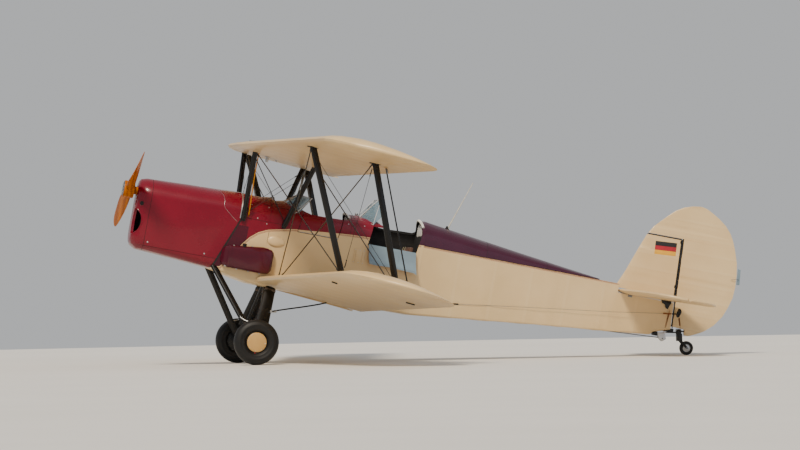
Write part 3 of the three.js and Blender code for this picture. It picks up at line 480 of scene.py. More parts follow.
# a round port in the corner above the intake: a rolled rim round a black cup, painted shade for the port's
# depth
outwards = Matrix.Rotation(math.radians(CORNER_PORT["turn"]), 3, "Z") @ X
mouth = []
for a in turns:
    spot = at(CORNER_PORT["station"], CORNER_PORT["y"], CORNER_PORT["z"])
    spot += (Z.cross(outwards) * math.cos(a) + Z * math.sin(a)) * CORNER_PORT["radius"] * MM
    mouth.append(nose.ray_cast(spot + outwards, -outwards)[1])
rims.append(pipe("rim", mouth, CORNER_PORT["rim"] * MM, closed=True))
fit(joined("intake_rims", rims), "airframe", "crimson_paint", burgundy)
cup = drawn("corner_port_cup", [[spot + outwards * depth * MM for spot in mouth]
                                for depth in CORNER_PORT["cup"]])
fit(cup, "airframe", "engine_metal", black_lining_and_shade)
# a dark duct wall behind the intake, fixed to the cowling's inside
duct = drawn("intake_duct", [[at(s, INTAKE["y"] + (INTAKE["wide"] + grow) * math.cos(a),
                                 INTAKE["z"] + (INTAKE["tall"] + grow) * math.sin(a)) for a in turns]
                             for s, grow in DUCT])
fit(duct, "airframe", "engine_metal", black_lining_and_shade)
bpy.data.objects.remove(nose)

# Oil tank and exhaust pipe
# The tank hangs outside the left side, aft of the cowling: two pressed aluminium halves, welded,
# enamelled and held by two straps. The exhaust is a bare steel tube on the right, blued by heat.
TANK_BANDS = [(1262, 26, 2.5), (1660, 26, 2.5), (1236, 5, 1.5), (1480, 8, 1.5)]
TANK_BOLTS = [(1290, 1), (1492, 1), (1232, -1), (1362, -1), (1494, -1), (1620, -1)]
BOLTS_Y = 395
TANK_CAP = (1404, 402)  # station and distance left
TANK_CAP_SHAPE = [(0, -8), (20, -8), (20, 12), (25, 14), (25, 26), (20, 30), (0, 31)]
PIPE_CLAMPS = (705, 1045)


def spun(name, profile, centre, axis=Y, steps=48):
    """A turned piece. The profile is a closed ring of radius and distance along the axis, in mm"""
    bpy.ops.object.select_all(action="DESELECT")
    bpy.ops.mesh.primitive_circle_add(vertices=len(profile), radius=1)
    piece = bpy.context.object
    piece.name = name
    out = Z if abs(axis.z) < 0.5 else X
    for spot, (radius, along) in zip(piece.data.vertices, profile):
        spot.co = centre + (out * radius + axis * along) * MM
    edit(piece)
    bpy.ops.mesh.spin(steps=steps, angle=2 * math.pi, center=centre, axis=axis)
    bpy.ops.mesh.select_all(action="SELECT")
    bpy.ops.mesh.remove_doubles(threshold=1e-5)
    bpy.ops.mesh.dissolve_degenerate(threshold=1e-6)
    bpy.ops.mesh.normals_make_consistent(inside=False)
    done()
    return piece


def on_top(piece, station, y, lift=0.0, way=-1):
    """Where a skin is hit by a line from above, or from below"""
    return struck(piece, at(station, y, REACH * -way), Z * way, lift)


# the oil tank's own dark enamel, also painted shade on the upper panels' side behind the cowling
dark_burgundy_and_shade = enamel("dark_burgundy_enamel_and_painted_shade", "4c0a1f", "40091b", 0.16)
tank = solid_copy("oil_tank", "oil_tank")
soften(tank, 9 * MM, 3, 22)
bpy.context.view_layer.update()
tank_bolts = [on_top(tank, station, BOLTS_Y, 2 * MM, -up) for station, up in TANK_BOLTS]
cap_place, _ = on_top(tank, *TANK_CAP)
for station, wide, proud in TANK_BANDS:
    strip(tank, at(station, 0, 0), X, wide * MM, proud * MM, lambda middle, face: middle.y > 0.34)
fit(tank, "airframe", "crimson_paint", dark_burgundy_and_shade)
fit(studs("oil_tank_bolts", tank_bolts, 9 * MM, 6 * MM), "airframe", "engine_metal", aluminium)
cap = spun("oil_filler_cap", TANK_CAP_SHAPE, cap_place, Z, 24)
soften(cap, 1.5 * MM)
fit(cap, "airframe", "black_enamel", black_lining_and_shade)

# heat has blued the steel near the engine and left brown oxide further along
hot_steel, tree, place = start_material("heat_blued_steel", Metallic=0.9)
stain = node(tree, "TexNoise", Vector=place, Scale=9.0, Detail=6.0, Roughness=0.65)
tone = node(tree, "ValToRGB", Fac=stain, stops=((0.3, "5b4a3c"), (0.5, "6c5f55"), (0.72, "4a4f5c")))
feed(tree, Base_Color=tone, Roughness=node(tree, "MapRange", Value=stain, To_Min=0.35, To_Max=0.7),
     Normal=node(tree, "Bump", Height=stain, Strength=0.1, Distance=0.001))
exhaust = solid_copy("exhaust_pipe", "exhaust_pipe")
pick(exhaust, lambda middle, face: middle.x < -1.22 and face.z < -0.9)
bpy.ops.mesh.inset(thickness=3 * MM)
bpy.ops.mesh.extrude_region_move(TRANSFORM_OT_translate={"value": (0, 0, 70 * MM)})
done()
painted(exhaust, 1, lambda middle, face: middle.x < -1.19 and face.z < -0.9 and middle.z > -0.70)
for station in PIPE_CLAMPS:
    strip(exhaust, at(station, 0, 0), X, 22 * MM, 3 * MM,
          lambda middle, face: middle.y < -0.29 and abs(face.x) < 0.6)
fit(exhaust, "airframe", "engine_metal", hot_steel, black_lining_and_shade)

# Propeller
# Two blades and their boss carved from laminated mahogany and ash, varnished, with a pale metal
# sheath along the leading edges and a steel plate bolted over the boss.
BLADE = [  # distance from the axis, chord, thickness and angle to the disc, in mm and degrees
    (40, 92, 92, 80), (90, 98, 82, 71), (130, 104, 70, 62), (200, 117, 55, 53), (280, 130, 42, 46),
    (370, 142, 35, 38.5), (480, 152, 28, 32), (590, 153, 23, 27), (690, 150, 19, 23), (780, 141, 16, 20.8),
    (845, 128, 13, 19), (890, 111, 11, 18), (925, 90, 9, 17), (946, 64, 7, 16.5), (959, 30, 4, 16)]
BLADE_MIDDLE = 70
SHEATH_FROM, SHEATH_SHARE = 300, 0.93
PROPELLER_TURN = math.radians(66)
BOSS = [(0, 14), (88, 14), (92, 18), (92, 124), (88, 128), (44, 128), (42, 240), (0, 244)]
HUB_PLATE = [(0, 1), (24, 1), (27, 4), (60, 5), (78, 6), (80, 9), (80, 14), (0, 14)]
BOSS_BOLTS = {"count": 8, "ring": 56}


def blade_ring(row, up, steps=20):
    """The outline of a blade where one row of its table stands"""
    radius, chord, thick, angle = row
    twist = math.radians(angle)
    ring = []
    for i in range(steps):
        turn = 2 * math.pi * i / steps
        along, over = chord / 2 * math.cos(turn), thick / 2 * math.sin(turn)
        fore = along * math.sin(twist) - over * math.cos(twist)
        beside = along * math.cos(twist) + over * math.sin(twist)
        ring.append(at(BLADE_MIDDLE - fore, up * beside, up * radius))
    return ring


def ahead(spot, up):
    """How far a place lies towards a blade's leading edge: 0 on its middle line, 1 on the edge"""
    radius = min(max(abs(spot.z) / MM, BLADE[0][0]), BLADE[-1][0] - 1)
    low, high = next((a, b) for a, b in zip(BLADE, BLADE[1:]) if a[0] <= radius < b[0])
    share = (radius - low[0]) / (high[0] - low[0])
    chord, twist = (low[i] + (high[i] - low[i]) * share for i in (1, 3))
    fore, beside = spot.x / MM + BLADE_MIDDLE, up * spot.y / MM
    return (fore * math.sin(math.radians(twist)) + beside * math.cos(math.radians(twist))) / (chord / 2)


# lamellae 22 mm thick run square to the axis. Their colours alternate, and the grain runs outwards
wood, tree, place = start_material("varnished_laminated_wood", Coat_Weight=0.04, Coat_Roughness=0.12,
                                   Specular_IOR_Level=0.05)
leaf = node(tree, "TexWave", Vector=place, wave_type="BANDS", bands_direction="X", Scale=7.0,
            Distortion=0.6, Detail=1.0)
fibre_place = node(tree, "Mapping", Vector=place, Scale=(1.0, 6.0, 6.0))
fibre = node(tree, "TexNoise", Vector=fibre_place, Scale=14.0, Detail=8.0, Roughness=0.6)
light_leaf = node(tree, "ValToRGB", Fac=fibre, stops=((0.3, "ad5a00"), (0.7, "cc7400")))
dark_leaf = node(tree, "ValToRGB", Fac=fibre, stops=((0.3, "8a4400"), (0.7, "a85a02")))
feed(tree, Base_Color=node(tree, "MixRGB", Fac=leaf, Color1=light_leaf, Color2=dark_leaf),
     Roughness=node(tree, "MapRange", Value=fibre, To_Min=0.32, To_Max=0.46),
     Normal=node(tree, "Bump", Height=fibre, Strength=0.06, Distance=0.0008))

propeller_pieces = []
for up in (1, -1):
    blade = drawn("blade", [blade_ring(row, up) for row in BLADE])
    cut(blade, Vector((0, 0, up * SHEATH_FROM * MM)), Z)
    raised(blade, lambda middle, face: abs(middle.z) > SHEATH_FROM * MM
           and ahead(middle, up) > SHEATH_SHARE, 1 * MM, 1)
    propeller_pieces.append(blade)
propeller_pieces.append(spun("boss", BOSS, at(0, 0, 0), -X, 40))
propeller = joined("propeller", propeller_pieces)
propeller.data.transform(Matrix.Rotation(-PROPELLER_TURN, 4, "X"))
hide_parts("propeller")
fit(propeller, "propeller", "varnished_wood", wood, aluminium)
hub_plate = spun("propeller_hub_plate", HUB_PLATE, at(0, 0, 0), -X, 40)
fit(hub_plate, "propeller", "engine_metal", steel)
bolts = []
for i in range(BOSS_BOLTS["count"]):
    turn = 2 * math.pi * i / BOSS_BOLTS["count"]
    bolts.append((at(4, BOSS_BOLTS["ring"] * math.cos(turn), BOSS_BOLTS["ring"] * math.sin(turn)), X))
fit(studs("propeller_bolts", bolts, 7 * MM, 4 * MM, 6), "propeller", "engine_metal", aluminium)
hub_nut = bar("propeller_shaft_nut", at(3, 0, 0), at(0.6, 0, 0), 20 * MM, 6)
fit(hub_nut, "propeller", "engine_metal", aluminium)

# Forward fuselage
# A spruce and plywood tub, covered and painted cream, and over it the burgundy upper panels of
# beaten aluminium with two humps ahead of the front cockpit. A double pinstripe follows the line
# where they meet.
EDGE = [(1070, -690), (1185, -655), (1389, -359), (1453, -280), (1535, -212), (1635, -165),
        (1711, -148), (1883, -110), (2095, -86), (2536, -50), (3381, -18)]
PINSTRIPES = [(9, 5), (19, 3)]  # how far under the edge, and how wide
HUMPS = [(1590, 90), (1786, 170)]  # station and width
TUB_JOINTS = (1650, 1948)
TUB_TAPE = 3362
HATCH = {"from": 2622, "to": 2748, "top": -187, "foot": -349, "thick": 4,
         "screws": (2634, 2685, 2736), "screw_heights": (-200, -336),
         "beads": (2650, 2720), "bead_heights": (-215, -268, -322)}
UPPER_JOINTS = [(1636, -0.08, 0.13), (2545, -0.045, 0.2)]  # station, and from and to which height in m
RAKE = [(1083, -690), (1318, -90)]
JOINT_WIDTH = 22
# painted shade: the upper panel's side below this height and ahead of this station
SHADE_BELOW, SHADE_TO = -170, 1420
PLUM_FROM = 3296
DECK_CAPS = [(1662, 24), (2617, 20)]
BLISTER = {"station": 1738, "z": -277, "long": 88, "tall": 61, "proud": 27}
SCREWS = [(1413, 76), (1607, 79), (1612, -104), (1500, -60), (1902, 68), (2220, 62), (2510, 62), (2690, 72)]
CREAM, CREAM_SHADE = "dcbf8e", "d3b482"
TAPE, TAPE_SHADE = "dec292", "d5b786"


def doped(name, colour, shade, sheen=0.32, stitch=False):
    """Linen or plywood under cellulose dope: satin, with faint brush clouds and a trace of weave"""
    material, tree, place = start_material(name, Coat_Weight=0.25, Coat_Roughness=0.25)
    clouds = node(tree, "TexNoise", Vector=place, Scale=1.7, Detail=5.0, Roughness=0.55)
    tint = node(tree, "ValToRGB", Fac=clouds, stops=((0.3, shade), (0.66, colour)))
    shine = node(tree, "MapRange", Value=clouds, To_Min=sheen, To_Max=sheen + 0.16)
    # threads are 0.5 mm apart, too fine to show, so they are drawn 5 mm apart and very low
    warp = node(tree, "TexWave", Vector=place, bands_direction="X", Scale=62.0)
    weft = node(tree, "TexWave", Vector=place, bands_direction="DIAGONAL", Scale=62.0)
    weave = node(tree, "MixRGB", blend_type="MULTIPLY", Fac=1.0, Color1=warp, Color2=weft)
    skin = node(tree, "Bump", Height=weave, Strength=0.05, Distance=0.0004)
    if stitch:
        # rib stitches under the tape, one each 60 mm
        knots = node(tree, "TexWave", Vector=place, bands_direction="X", Scale=5.2)
        skin = node(tree, "Bump", Height=knots, Strength=0.12, Distance=0.001, Normal=skin)
    feed(tree, Base_Color=tint, Roughness=shine, Normal=skin)
    return material


def stripe(piece, line, below, width, test, index):
    """Paints a band of a piece's faces that runs under a line of stations and heights"""
    for (s0, z0), (s1, z1) in zip(line, line[1:]):
        along = Vector((s0 - s1, 0, z1 - z0)).normalized()
        down = Vector((along.z, 0, -along.x))
        down = down if down.z < 0 else -down
        between = lambda middle, face: -s1 * MM < middle.x < -s0 * MM and test(middle, face)
        for offset in (below, below + width):
            pick(piece, between)
            bpy.ops.mesh.bisect(plane_co=at(s0, 0, z0) + down * offset * MM, plane_no=down)
            done()
        painted(piece, index, lambda middle, face: between(middle, face)
                and below < (middle - at(s0, 0, z0)).dot(down) / MM < below + width)


cream = doped("cream_doped_fabric", CREAM, CREAM_SHADE)
tape = doped("cream_tape_doped", TAPE, TAPE_SHADE, 0.3, True)
pin_red = clouded("burgundy_line_paint", "6a1024", "83142e", 12.0, 4.0, Roughness=0.35)

on_side = lambda middle, face: abs(face.y) > 0.5 and abs(middle.y) > 0.25
tub = solid_copy("fuselage_front", "fuselage_front")
hatch = patch(tub, "access_panel_left", [(at(HATCH["to"], 0, 0), -X), (at(HATCH["from"], 0, 0), X),
                                         (at(0, 0, HATCH["top"]), Z), (at(0, 0, HATCH["foot"]), -Z)],
              HATCH["thick"] * MM, lambda middle, face: middle.y > 0.32 and face.y > 0.5)
hatch_screws = [on_skin(tub, s, z, 5 * MM) for z in HATCH["screw_heights"] for s in HATCH["screws"]]
bead_lines = [[on_skin(tub, s, z, 5 * MM)[0] for z in HATCH["bead_heights"]] for s in HATCH["beads"]]
blister_place, _ = on_skin(tub, BLISTER["station"], BLISTER["z"])
for s, _ in EDGE[1:-1]:
    cut(tub, at(s, 0, 0), X)
for below, width in PINSTRIPES:
    stripe(tub, EDGE, below, width, on_side, 1)
for station in TUB_JOINTS:
    strip(tub, at(station, 0, 0), X, 4 * MM, -1.5 * MM,
          lambda middle, face: on_side(middle, face) and -0.29 < middle.z < -0.19, 2)
strip(tub, at(TUB_TAPE, 0, 0), X, 30 * MM, 1 * MM, on_side, 3)
# the sunk joints are black; the cockpits' inner sides, forward-facing walls and floors get black painted
# shade
painted(tub, 2, lambda middle, face: middle.y * face.y < -0.02 or (face.x > 0.4 and middle.x < -1.5)
        or (face.z > 0.5 and middle.z < -0.3))
fit(tub, "airframe", "cream_fabric", cream, pin_red, black_lining_and_shade, tape)
soften(hatch, 1.2 * MM)
fit(hatch, "airframe", "cream_fabric", cream)
beads = [pipe("bead", line, 7 * MM) for line in bead_lines]
fit(joined("access_panel_beads", beads), "airframe", "cream_fabric", cream)
fit(studs("access_panel_screws", hatch_screws, 4 * MM, 1.5 * MM), "airframe", "engine_metal", aluminium)

# a pressed teardrop blister over a fitting on each side
blisters = []
for side in (1, -1):
    bpy.ops.object.select_all(action="DESELECT")
    bpy.ops.mesh.primitive_uv_sphere_add(segments=32, ring_count=16, radius=1)
    dome = bpy.context.object
    cut(dome, Vector(), Y * side, clear_inner=True)
    pick(dome, lambda middle, face: middle.x < 0)
    bpy.ops.transform.resize(value=(1.25, 1, 1), center_override=(0, 0, 0))
    done()
    dome.data.transform(Matrix.Diagonal([BLISTER[size] * MM for size in ("long", "proud", "tall")] + [1]))
    dome.data.transform(Matrix.Translation((blister_place.x, side * (blister_place.y - 0.001),
                                            blister_place.z)))
    apply_modifier(dome, "SOLIDIFY", thickness=1.2 * MM, offset=-1)
    blisters.append(dome)
fit(joined("fitting_blisters", blisters), "airframe", "cream_fabric", cream)

plum = enamel("plum_enamel", "40102a", "360c22", 0.24, 0.25)
upper = solid_copy("coaming", "coaming")
screws = [on_skin(upper, s, z, 0, side) for s, z in SCREWS for side in (1, -1)]
cap_places = [(on_top(upper, station, 0)[0], radius) for station, radius in DECK_CAPS]
top_only = lambda middle, face: face.z > 0.2 and abs(middle.y) < 0.27 and middle.z > 0.05
for station, width in HUMPS:
    strip(upper, at(station, 0, 0), X, width * MM, 5 * MM, top_only)
for station, low, high in UPPER_JOINTS:
    strip(upper, at(station, 0, 0), X, *SHEET_JOINT,
          lambda middle, face: low < middle.z < high and face.dot(Vector((0, middle.y, 0.1))) > 0, 1)
strip(upper, at(0, 0, -80), Z, *SHEET_JOINT,
      lambda middle, face: abs(face.y) > 0.6 and abs(middle.y) > 0.32 and -1.76 < middle.x < -1.33, 1)
# painted shade: black inside the cockpits and in the joint behind the cowling's raked edge, and dark
# burgundy on the side below it
low_end, high_end = [at(s, 0, z) for s, z in RAKE]
rake = low_end - high_end
behind = Vector((rake.z, 0, -rake.x)).normalized()
joint_end = at(RAKE[1][0] + JOINT_WIDTH, 0, RAKE[1][1])
cut(upper, joint_end, behind)
cut(upper, at(0, 0, SHADE_BELOW), Z)
cut(upper, at(SHADE_TO, 0, 0), X)
cut(upper, at(PLUM_FROM, 0, 0), X)
for face in upper.data.polygons:
    inward = face.normal.dot(Vector((0, face.center.y, face.center.z + 0.3))) < 0.02
    if inward or (face.normal.x > 0.6 and face.center.x < -1.9):
        face.material_index = 1
    elif (face.center - joint_end).dot(behind) < 0 and face.center.z < RAKE[1][1] * MM:
        face.material_index = 1
    elif face.center.z < SHADE_BELOW * MM and face.center.x > -SHADE_TO * MM:
        face.material_index = 2
    elif face.center.x < -PLUM_FROM * MM:
        face.material_index = 3
fit(upper, "airframe", "crimson_paint", burgundy, black_lining_and_shade, dark_burgundy_and_shade, plum)
fit(studs("upper_panel_screws", screws, 7 * MM, 2.5 * MM), "airframe", "engine_metal", aluminium)
caps = [spun("cap", [(0, -12), (radius - 6, -12), (radius - 6, 8), (radius, 10), (radius, 20),
                     (radius - 4, 25), (8, 27), (6, 33), (0, 34)], spot, Z, 28)
        for spot, radius in cap_places]
fit(joined("deck_filler_caps", caps), "airframe", "engine_metal", aluminium)

# Cockpits: instrument panels, seats, controls, doors, edge paddings and windscreens
# Black panels with round dials, sheet seats with leather cushions and webbing belts, one control
# column each, drop-down doors on the left side, and folded panes in light metal frames.
PITS = [{"name": "front", "from": 1950, "to": 2470, "half": 265, "lean": 43, "pad": 105},
        {"name": "rear", "from": 2785, "to": 3303, "half": 290, "lean": 44, "pad": 190}]
PANEL_FACE = 17.5  # the panels are 18 mm thick, and the dials stand 0.5 mm in them
# each dial's distance left, height and radius
DIALS = [(-150, -30, 40), (-52, 0, 46), (52, 0, 46), (150, -30, 40), (-98, -112, 32), (0, -106, 38),
         (98, -112, 32)]
DIAL_MARKS = [k * math.pi / 6 for k in range(12) if k != 6]
ROLL = {"radius": 14.5, "over": 3, "aft": 12, "reach": 0.82, "folds": 24}
COLUMN = [(120, -755), (150, -470), (172, -290)]  # how far aft of the panel, and height
# the front of a cockpit's hole: shares of its length and of its half width
HOLE_FRONT = [(0, 0), (0.003, 0.15), (0.01, 0.3), (0.03, 0.48), (0.05, 0.62), (0.09, 0.76), (0.13, 0.86)]
PUFF_FRAMES = 20
CUSHIONS = {"seat": {"thick": 42, "ends": ((395, -412), (105, -434)), "half": 185},
            "back": {"thick": 34, "ends": ((92, -385), (53, -90)), "half": 180}}
BELTS = [(X, [(88, 200, -400), (120, 176, -372), (180, 120, -366), (236, 50, -362), (252, 24, -360)]),
         (Y, [(58, 70, -64), (82, 74, -140), (98, 72, -260), (128, 56, -350), (236, 26, -358)])]
HANDS = (("left", 1), ("right", -1))

# crackle-finish enamel on plywood: matt, with a 3 mm wrinkle
panel_black, tree, place = start_material("black_crackle_enamel", Roughness=0.55)
crackle = node(tree, "TexVoronoi", Vector=place, feature="DISTANCE_TO_EDGE", Scale=300.0)
feed(tree, Base_Color=node(tree, "ValToRGB", Fac=crackle, stops=((0.0, "0c0c0d"), (0.3, "1d1d1f"))),
     Normal=node(tree, "Bump", Height=crackle, Strength=0.3, Distance=0.0004))
dial_face = clouded("matt_black_dial", "080808", "161616", 200.0, ends=(0.2, 0.9), Roughness=0.7)
mark_paint = clouded("radium_white_paint", "cfd0c0", "ecebdc", 300.0, ends=(0.2, 0.8), Roughness=0.6)


def hide(name, colour, dark, crease=0.35, rough=0.45):
    """Leather: rounded pebbles 4 mm across, softer and darker where it is handled"""
    material, tree, place = start_material(name, Sheen_Weight=0.1)
    wear = node(tree, "TexNoise", Vector=place, Scale=7.0, Detail=5.0)
    pebble = node(tree, "TexVoronoi", Vector=place, Scale=250.0)
    folds = node(tree, "TexNoise", Vector=place, Scale=22.0, Detail=4.0, Distortion=1.2)
    tint = node(tree, "ValToRGB", Fac=wear, stops=((0.3, dark), (0.68, colour)))
    grain = node(tree, "Bump", Height=pebble, Strength=0.25, Distance=0.0008)
    feed(tree, Base_Color=tint,
         Roughness=node(tree, "MapRange", Value=wear, To_Min=rough - 0.1, To_Max=rough + 0.2),
         Normal=node(tree, "Bump", Height=folds, Strength=crease, Distance=0.002, Normal=grain))
    return material


seat_leather = hide("brown_seat_leather", "5f3a22", "412615")
edge_leather = hide("pale_edge_leather", "eeece4", "d2cfc6", 0.2, 0.5)
webbing, tree, place = start_material("khaki_cotton_webbing", Roughness=0.85, Sheen_Weight=0.3)
# threads 1 mm apart are drawn 3 mm apart
ribs = node(tree, "TexWave", Vector=place, bands_direction="Z", Scale=105.0, Distortion=0.4)
feed(tree, Base_Color=node(tree, "ValToRGB", Fac=ribs, stops=((0.2, "6f6344"), (0.8, "94875f"))),
     Normal=node(tree, "Bump", Height=ribs, Strength=0.4, Distance=0.001))


def puffed(piece, voxel, pressure, most):
    """Blows a closed form up into a stuffed pad with a cloth simulation, then keeps the result"""
    apply_modifier(piece, "REMESH", mode="VOXEL", voxel_size=voxel)
    start = [spot.co.copy() for spot in piece.data.vertices]
    only(piece)
    cloth = piece.modifiers.new("cloth", "CLOTH")
    cloth.settings.use_pressure = True
    cloth.settings.uniform_pressure_force = pressure
    cloth.settings.effector_weights.gravity = 0
    cloth.point_cache.frame_end = PUFF_FRAMES
    for number in range(1, PUFF_FRAMES + 1):
        bpy.context.scene.frame_set(number)
    bpy.ops.object.modifier_apply(modifier="cloth")
    bpy.context.scene.frame_set(1)
    for spot, old in zip(piece.data.vertices, start):
        moved = spot.co - old
        if moved.length > most:
            spot.co = old + moved.normalized() * most
    apply_modifier(piece, "SMOOTH", factor=0.5, iterations=2)
    return piece


def pad(name, corners, thick):
    """A stuffed cushion between four corners, with rounded edges and its middle crowned"""
    a, b, c, d = corners
    bpy.ops.object.select_all(action="DESELECT")
    bpy.ops.mesh.primitive_grid_add(x_subdivisions=10, y_subdivisions=10, size=1)
    piece = bpy.context.object
    piece.name = name
    for spot in piece.data.vertices:
        u, v = spot.co.x + 0.5, spot.co.y + 0.5
        spot.co = (a * (1 - u) + b * u) * (1 - v) + (d * (1 - u) + c * u) * v
    apply_modifier(piece, "SOLIDIFY", thickness=thick, offset=0)
    edit(piece)
    bpy.ops.mesh.normals_make_consistent(inside=False)
    done()
    soften(piece, thick * 0.3, 3)
    return puffed(piece, 9 * MM, 4.0, 16 * MM)


def block(name, low, high, bevel):
    """A plate or block between two corners, with its edges rounded"""
    bpy.ops.object.select_all(action="DESELECT")
    bpy.ops.mesh.primitive_cube_add(size=1, location=(low + high) / 2)
    piece = bpy.context.object
    piece.name = name
    piece.scale = [abs(high[i] - low[i]) for i in range(3)]
    bpy.ops.object.transform_apply(location=True, rotation=True, scale=True)
    soften(piece, bevel)
    return piece


def ribbon(name, points, width, thick, across=Y):
    """A flat strap or strip along points, its width along one direction"""
    rings = []
    for i, point in enumerate(points):
        along = points[min(i + 1, len(points) - 1)] - points[max(i - 1, 0)]
        wide = (across - along * (across.dot(along) / along.length_squared)).normalized() * width / 2
        deep = along.cross(wide).normalized() * thick / 2
        rings.append([point + wide + deep, point - wide + deep, point - wide - deep, point + wide - deep])
    return drawn(name, rings)


for pit in PITS:
    start, back = pit["from"], pit["to"] - 30
    panel = solid_copy(f"instrument_panel_{pit['name']}", f"instrument_panel_{pit['name']}")
    soften(panel, 1.2 * MM)
    fit(panel, "airframe", "panel_paint", panel_black)
    bezels, faces, marks = [], [], []
    for i, (y, z, radius) in enumerate(DIALS):
        centre = at(start - PANEL_FACE, y, z)
        bezels.append(spun("bezel", [(radius - 5, -2), (radius, -2), (radius + 2, 3), (radius, 9),
                                     (radius - 4, 11), (radius - 6, 6)], centre, -X, 36))
        faces.append(spun("face", [(0, 0), (radius - 4, 0), (radius - 4, 4), (0, 4)], centre, -X, 36))
        for turn in DIAL_MARKS:
            way = Vector((0, math.sin(turn), math.cos(turn)))
            marks.append(bar("mark", centre - X * 4.4 * MM + way * (radius - 13) * MM,
                             centre - X * 4.4 * MM + way * (radius - 7) * MM, 0.9 * MM, 6))
        turn = 0.9 * i + 0.6
        way = Vector((0, math.sin(turn), math.cos(turn)))
        marks.append(bar("pointer", centre - X * 5.4 * MM - way * 6 * MM, centre - X * 5.4 * MM
                         + way * (radius - 12) * MM, 1.5 * MM, 6, end_radius=0.5 * MM))
    fit(joined(f"dial_bezels_{pit['name']}", bezels), "airframe", "engine_metal", aluminium)
    fit(joined(f"dial_faces_{pit['name']}", faces), "airframe", "panel_paint", dial_face)
    fit(joined(f"dial_marks_{pit['name']}", marks), "airframe", "panel_paint", mark_paint)

    # the seat: a bent sheet pan with rounded rims, two stuffed cushions in it and two pairs of belts
    seat = solid_copy(f"seat_{pit['name']}", f"seat_{pit['name']}")
    soften(seat, 8 * MM, 3)
    fit(seat, "airframe", "seat_leather", seat_leather)
    for part, cushion in CUSHIONS.items():
        (first, low), (last, high), half = *cushion["ends"], cushion["half"]
        stuffed = pad(f"{part}_cushion_{pit['name']}",
                      [at(back - first, -half, low), at(back - first, half, low),
                       at(back - last, half, high), at(back - last, -half, high)], cushion["thick"] * MM)
        fit(stuffed, "airframe", "seat_leather", seat_leather, angle=60)
    belts = [ribbon("belt", [at(back - ahead_of, side * y, z) for ahead_of, y, z in line], 42 * MM, 3 * MM,
                    across) for side in (1, -1) for across, line in BELTS]
    fit(joined(f"belts_{pit['name']}", belts), "airframe", "seat_leather", webbing)
    buckle = block(f"belt_buckle_{pit['name']}", at(back - 225, -30, -362), at(back - 280, 30, -352),
                   3 * MM)
    fit(buckle, "airframe", "engine_metal", steel)

    # the control column stands on the floor, with a rubber grip
    foot, knee, top = [at(start + aft_by, 0, z) for aft_by, z in COLUMN]
    stick = pipe(f"control_column_{pit['name']}", [foot, knee, top], 11 * MM)
    fit(stick, "airframe", "black_enamel", steel)
    grip = bar(f"control_grip_{pit['name']}", knee.lerp(top, 0.5), top + Z * 12 * MM, 17 * MM, 20, 4 * MM)
    fit(grip, "airframe", "tyre_rubber", black_lining_and_shade)

# edge paddings: a pale leather roll along each hole's rear edge, laced through the deck
deck = solid_copy("deck", "coaming", stands=False)
for pit in PITS:
    line = []
    for i in range(13):
        y = (i / 6 - 1) * ROLL["reach"] * pit["half"]
        station = pit["to"] + pit["lean"] * (abs(y) / pit["half"]) ** 1.6 + ROLL["aft"]
        line.append(on_top(deck, station + 3, y)[0] + Vector((3, 0, ROLL["over"])) * MM)
    roll = pipe(f"padding_{pit['name']}", line, ROLL["radius"] * MM, steps=8, rounds=5)
    for i in range(1, ROLL["folds"]):
        spot = line[0].lerp(line[-1], i / ROLL["folds"])
        strip(roll, Vector((0, spot.y, 0)), Y, 2.5 * MM, -1.5 * MM)
    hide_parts(f"padding_{pit['name']}")
    fit(roll, "airframe", "edge_leather", edge_leather, angle=50)
    # a pale stuffed pad closes the arch behind the roll
    rim = [spot + Vector((-16, 0, -12)) * MM for spot in line]
    low = max(spot.z for spot in rim) - pit["pad"] * MM
    rim = [spot for spot in rim if spot.z > low + 0.012]
    foot_line = [rim[-1].lerp(rim[0], i / 6) for i in range(7)]
    ring = rim + [Vector((spot.x, spot.y * 0.96, low)) for spot in foot_line]
    back_pad = drawn(f"arch_pad_{pit['name']}", [ring, [spot - X * 22 * MM for spot in ring]])
    soften(back_pad, 6 * MM, 2)
    puffed(back_pad, 8 * MM, 3.0, 9 * MM)
    fit(back_pad, "airframe", "edge_leather", edge_leather, angle=60)
    # a light metal lip turned up along the front of the hole
    lip = []
    for along, across in HOLE_FRONT[::-1] + [(a, -w) for a, w in HOLE_FRONT[1:]]:
        station = pit["from"] + along * (pit["to"] - pit["from"]) - 6
        lip.append(on_top(deck, station, 1.015 * across * pit["half"], 1 * MM)[0])
    fit(pipe(f"cockpit_lip_{pit['name']}", lip, 4 * MM), "airframe", "engine_metal", aluminium)

# doors: the same sheet as the panels around them, grey inside. The front door's lower part is cream
# below the line of the deck, and the rear door hangs open
DOOR_LINE = [(1883, -110), (2536, -50)]
DOOR_SEAMS = [(3118, 4, -1.5), (2800, 3, -1)]
DOOR_HINGES = {"door_front": (1985, 2425, 338.5), "door_rear": (2775, 3300, 347.5)}
REAR_DOOR_FOOT = -120
door_grey = enamel("pale_blue_grey_enamel", "7b8f9b", "718490", 0.3, 0.3)
for name, sign in (("door_front", 1), ("door_rear", -1)):
    door = solid_copy(name, name)
    if sign > 0:
        start, end = [at(s, 0, z) for s, z in DOOR_LINE]
        along = (end - start).normalized()
        above = Vector((along.z, 0, -along.x))
        cut(door, start, above)
        painted(door, 3, lambda middle, face: (middle - start).dot(above) < 0)
    else:
        for station, wide, deep in DOOR_SEAMS:
            strip(door, at(station, 0, 0), X, wide * MM, deep * MM, lambda middle, face: face.y > 0.5, 2)
    painted(door, 1, lambda middle, face: face.y * sign < -0.3)
    low = min(spot.co.z for spot in door.data.vertices) / MM if sign > 0 else REAR_DOOR_FOOT
    fit(door, name, "crimson_paint" if sign > 0 else "cream_fabric", burgundy, door_grey, black_lining_and_shade, cream)
    first, last, y = DOOR_HINGES[name]
    hinge = bar(name + "_hinge", at(first, y, low + 1), at(last, y, low + 1), 3.5 * MM, 10)
    fit(hinge, "airframe", "engine_metal", aluminium)

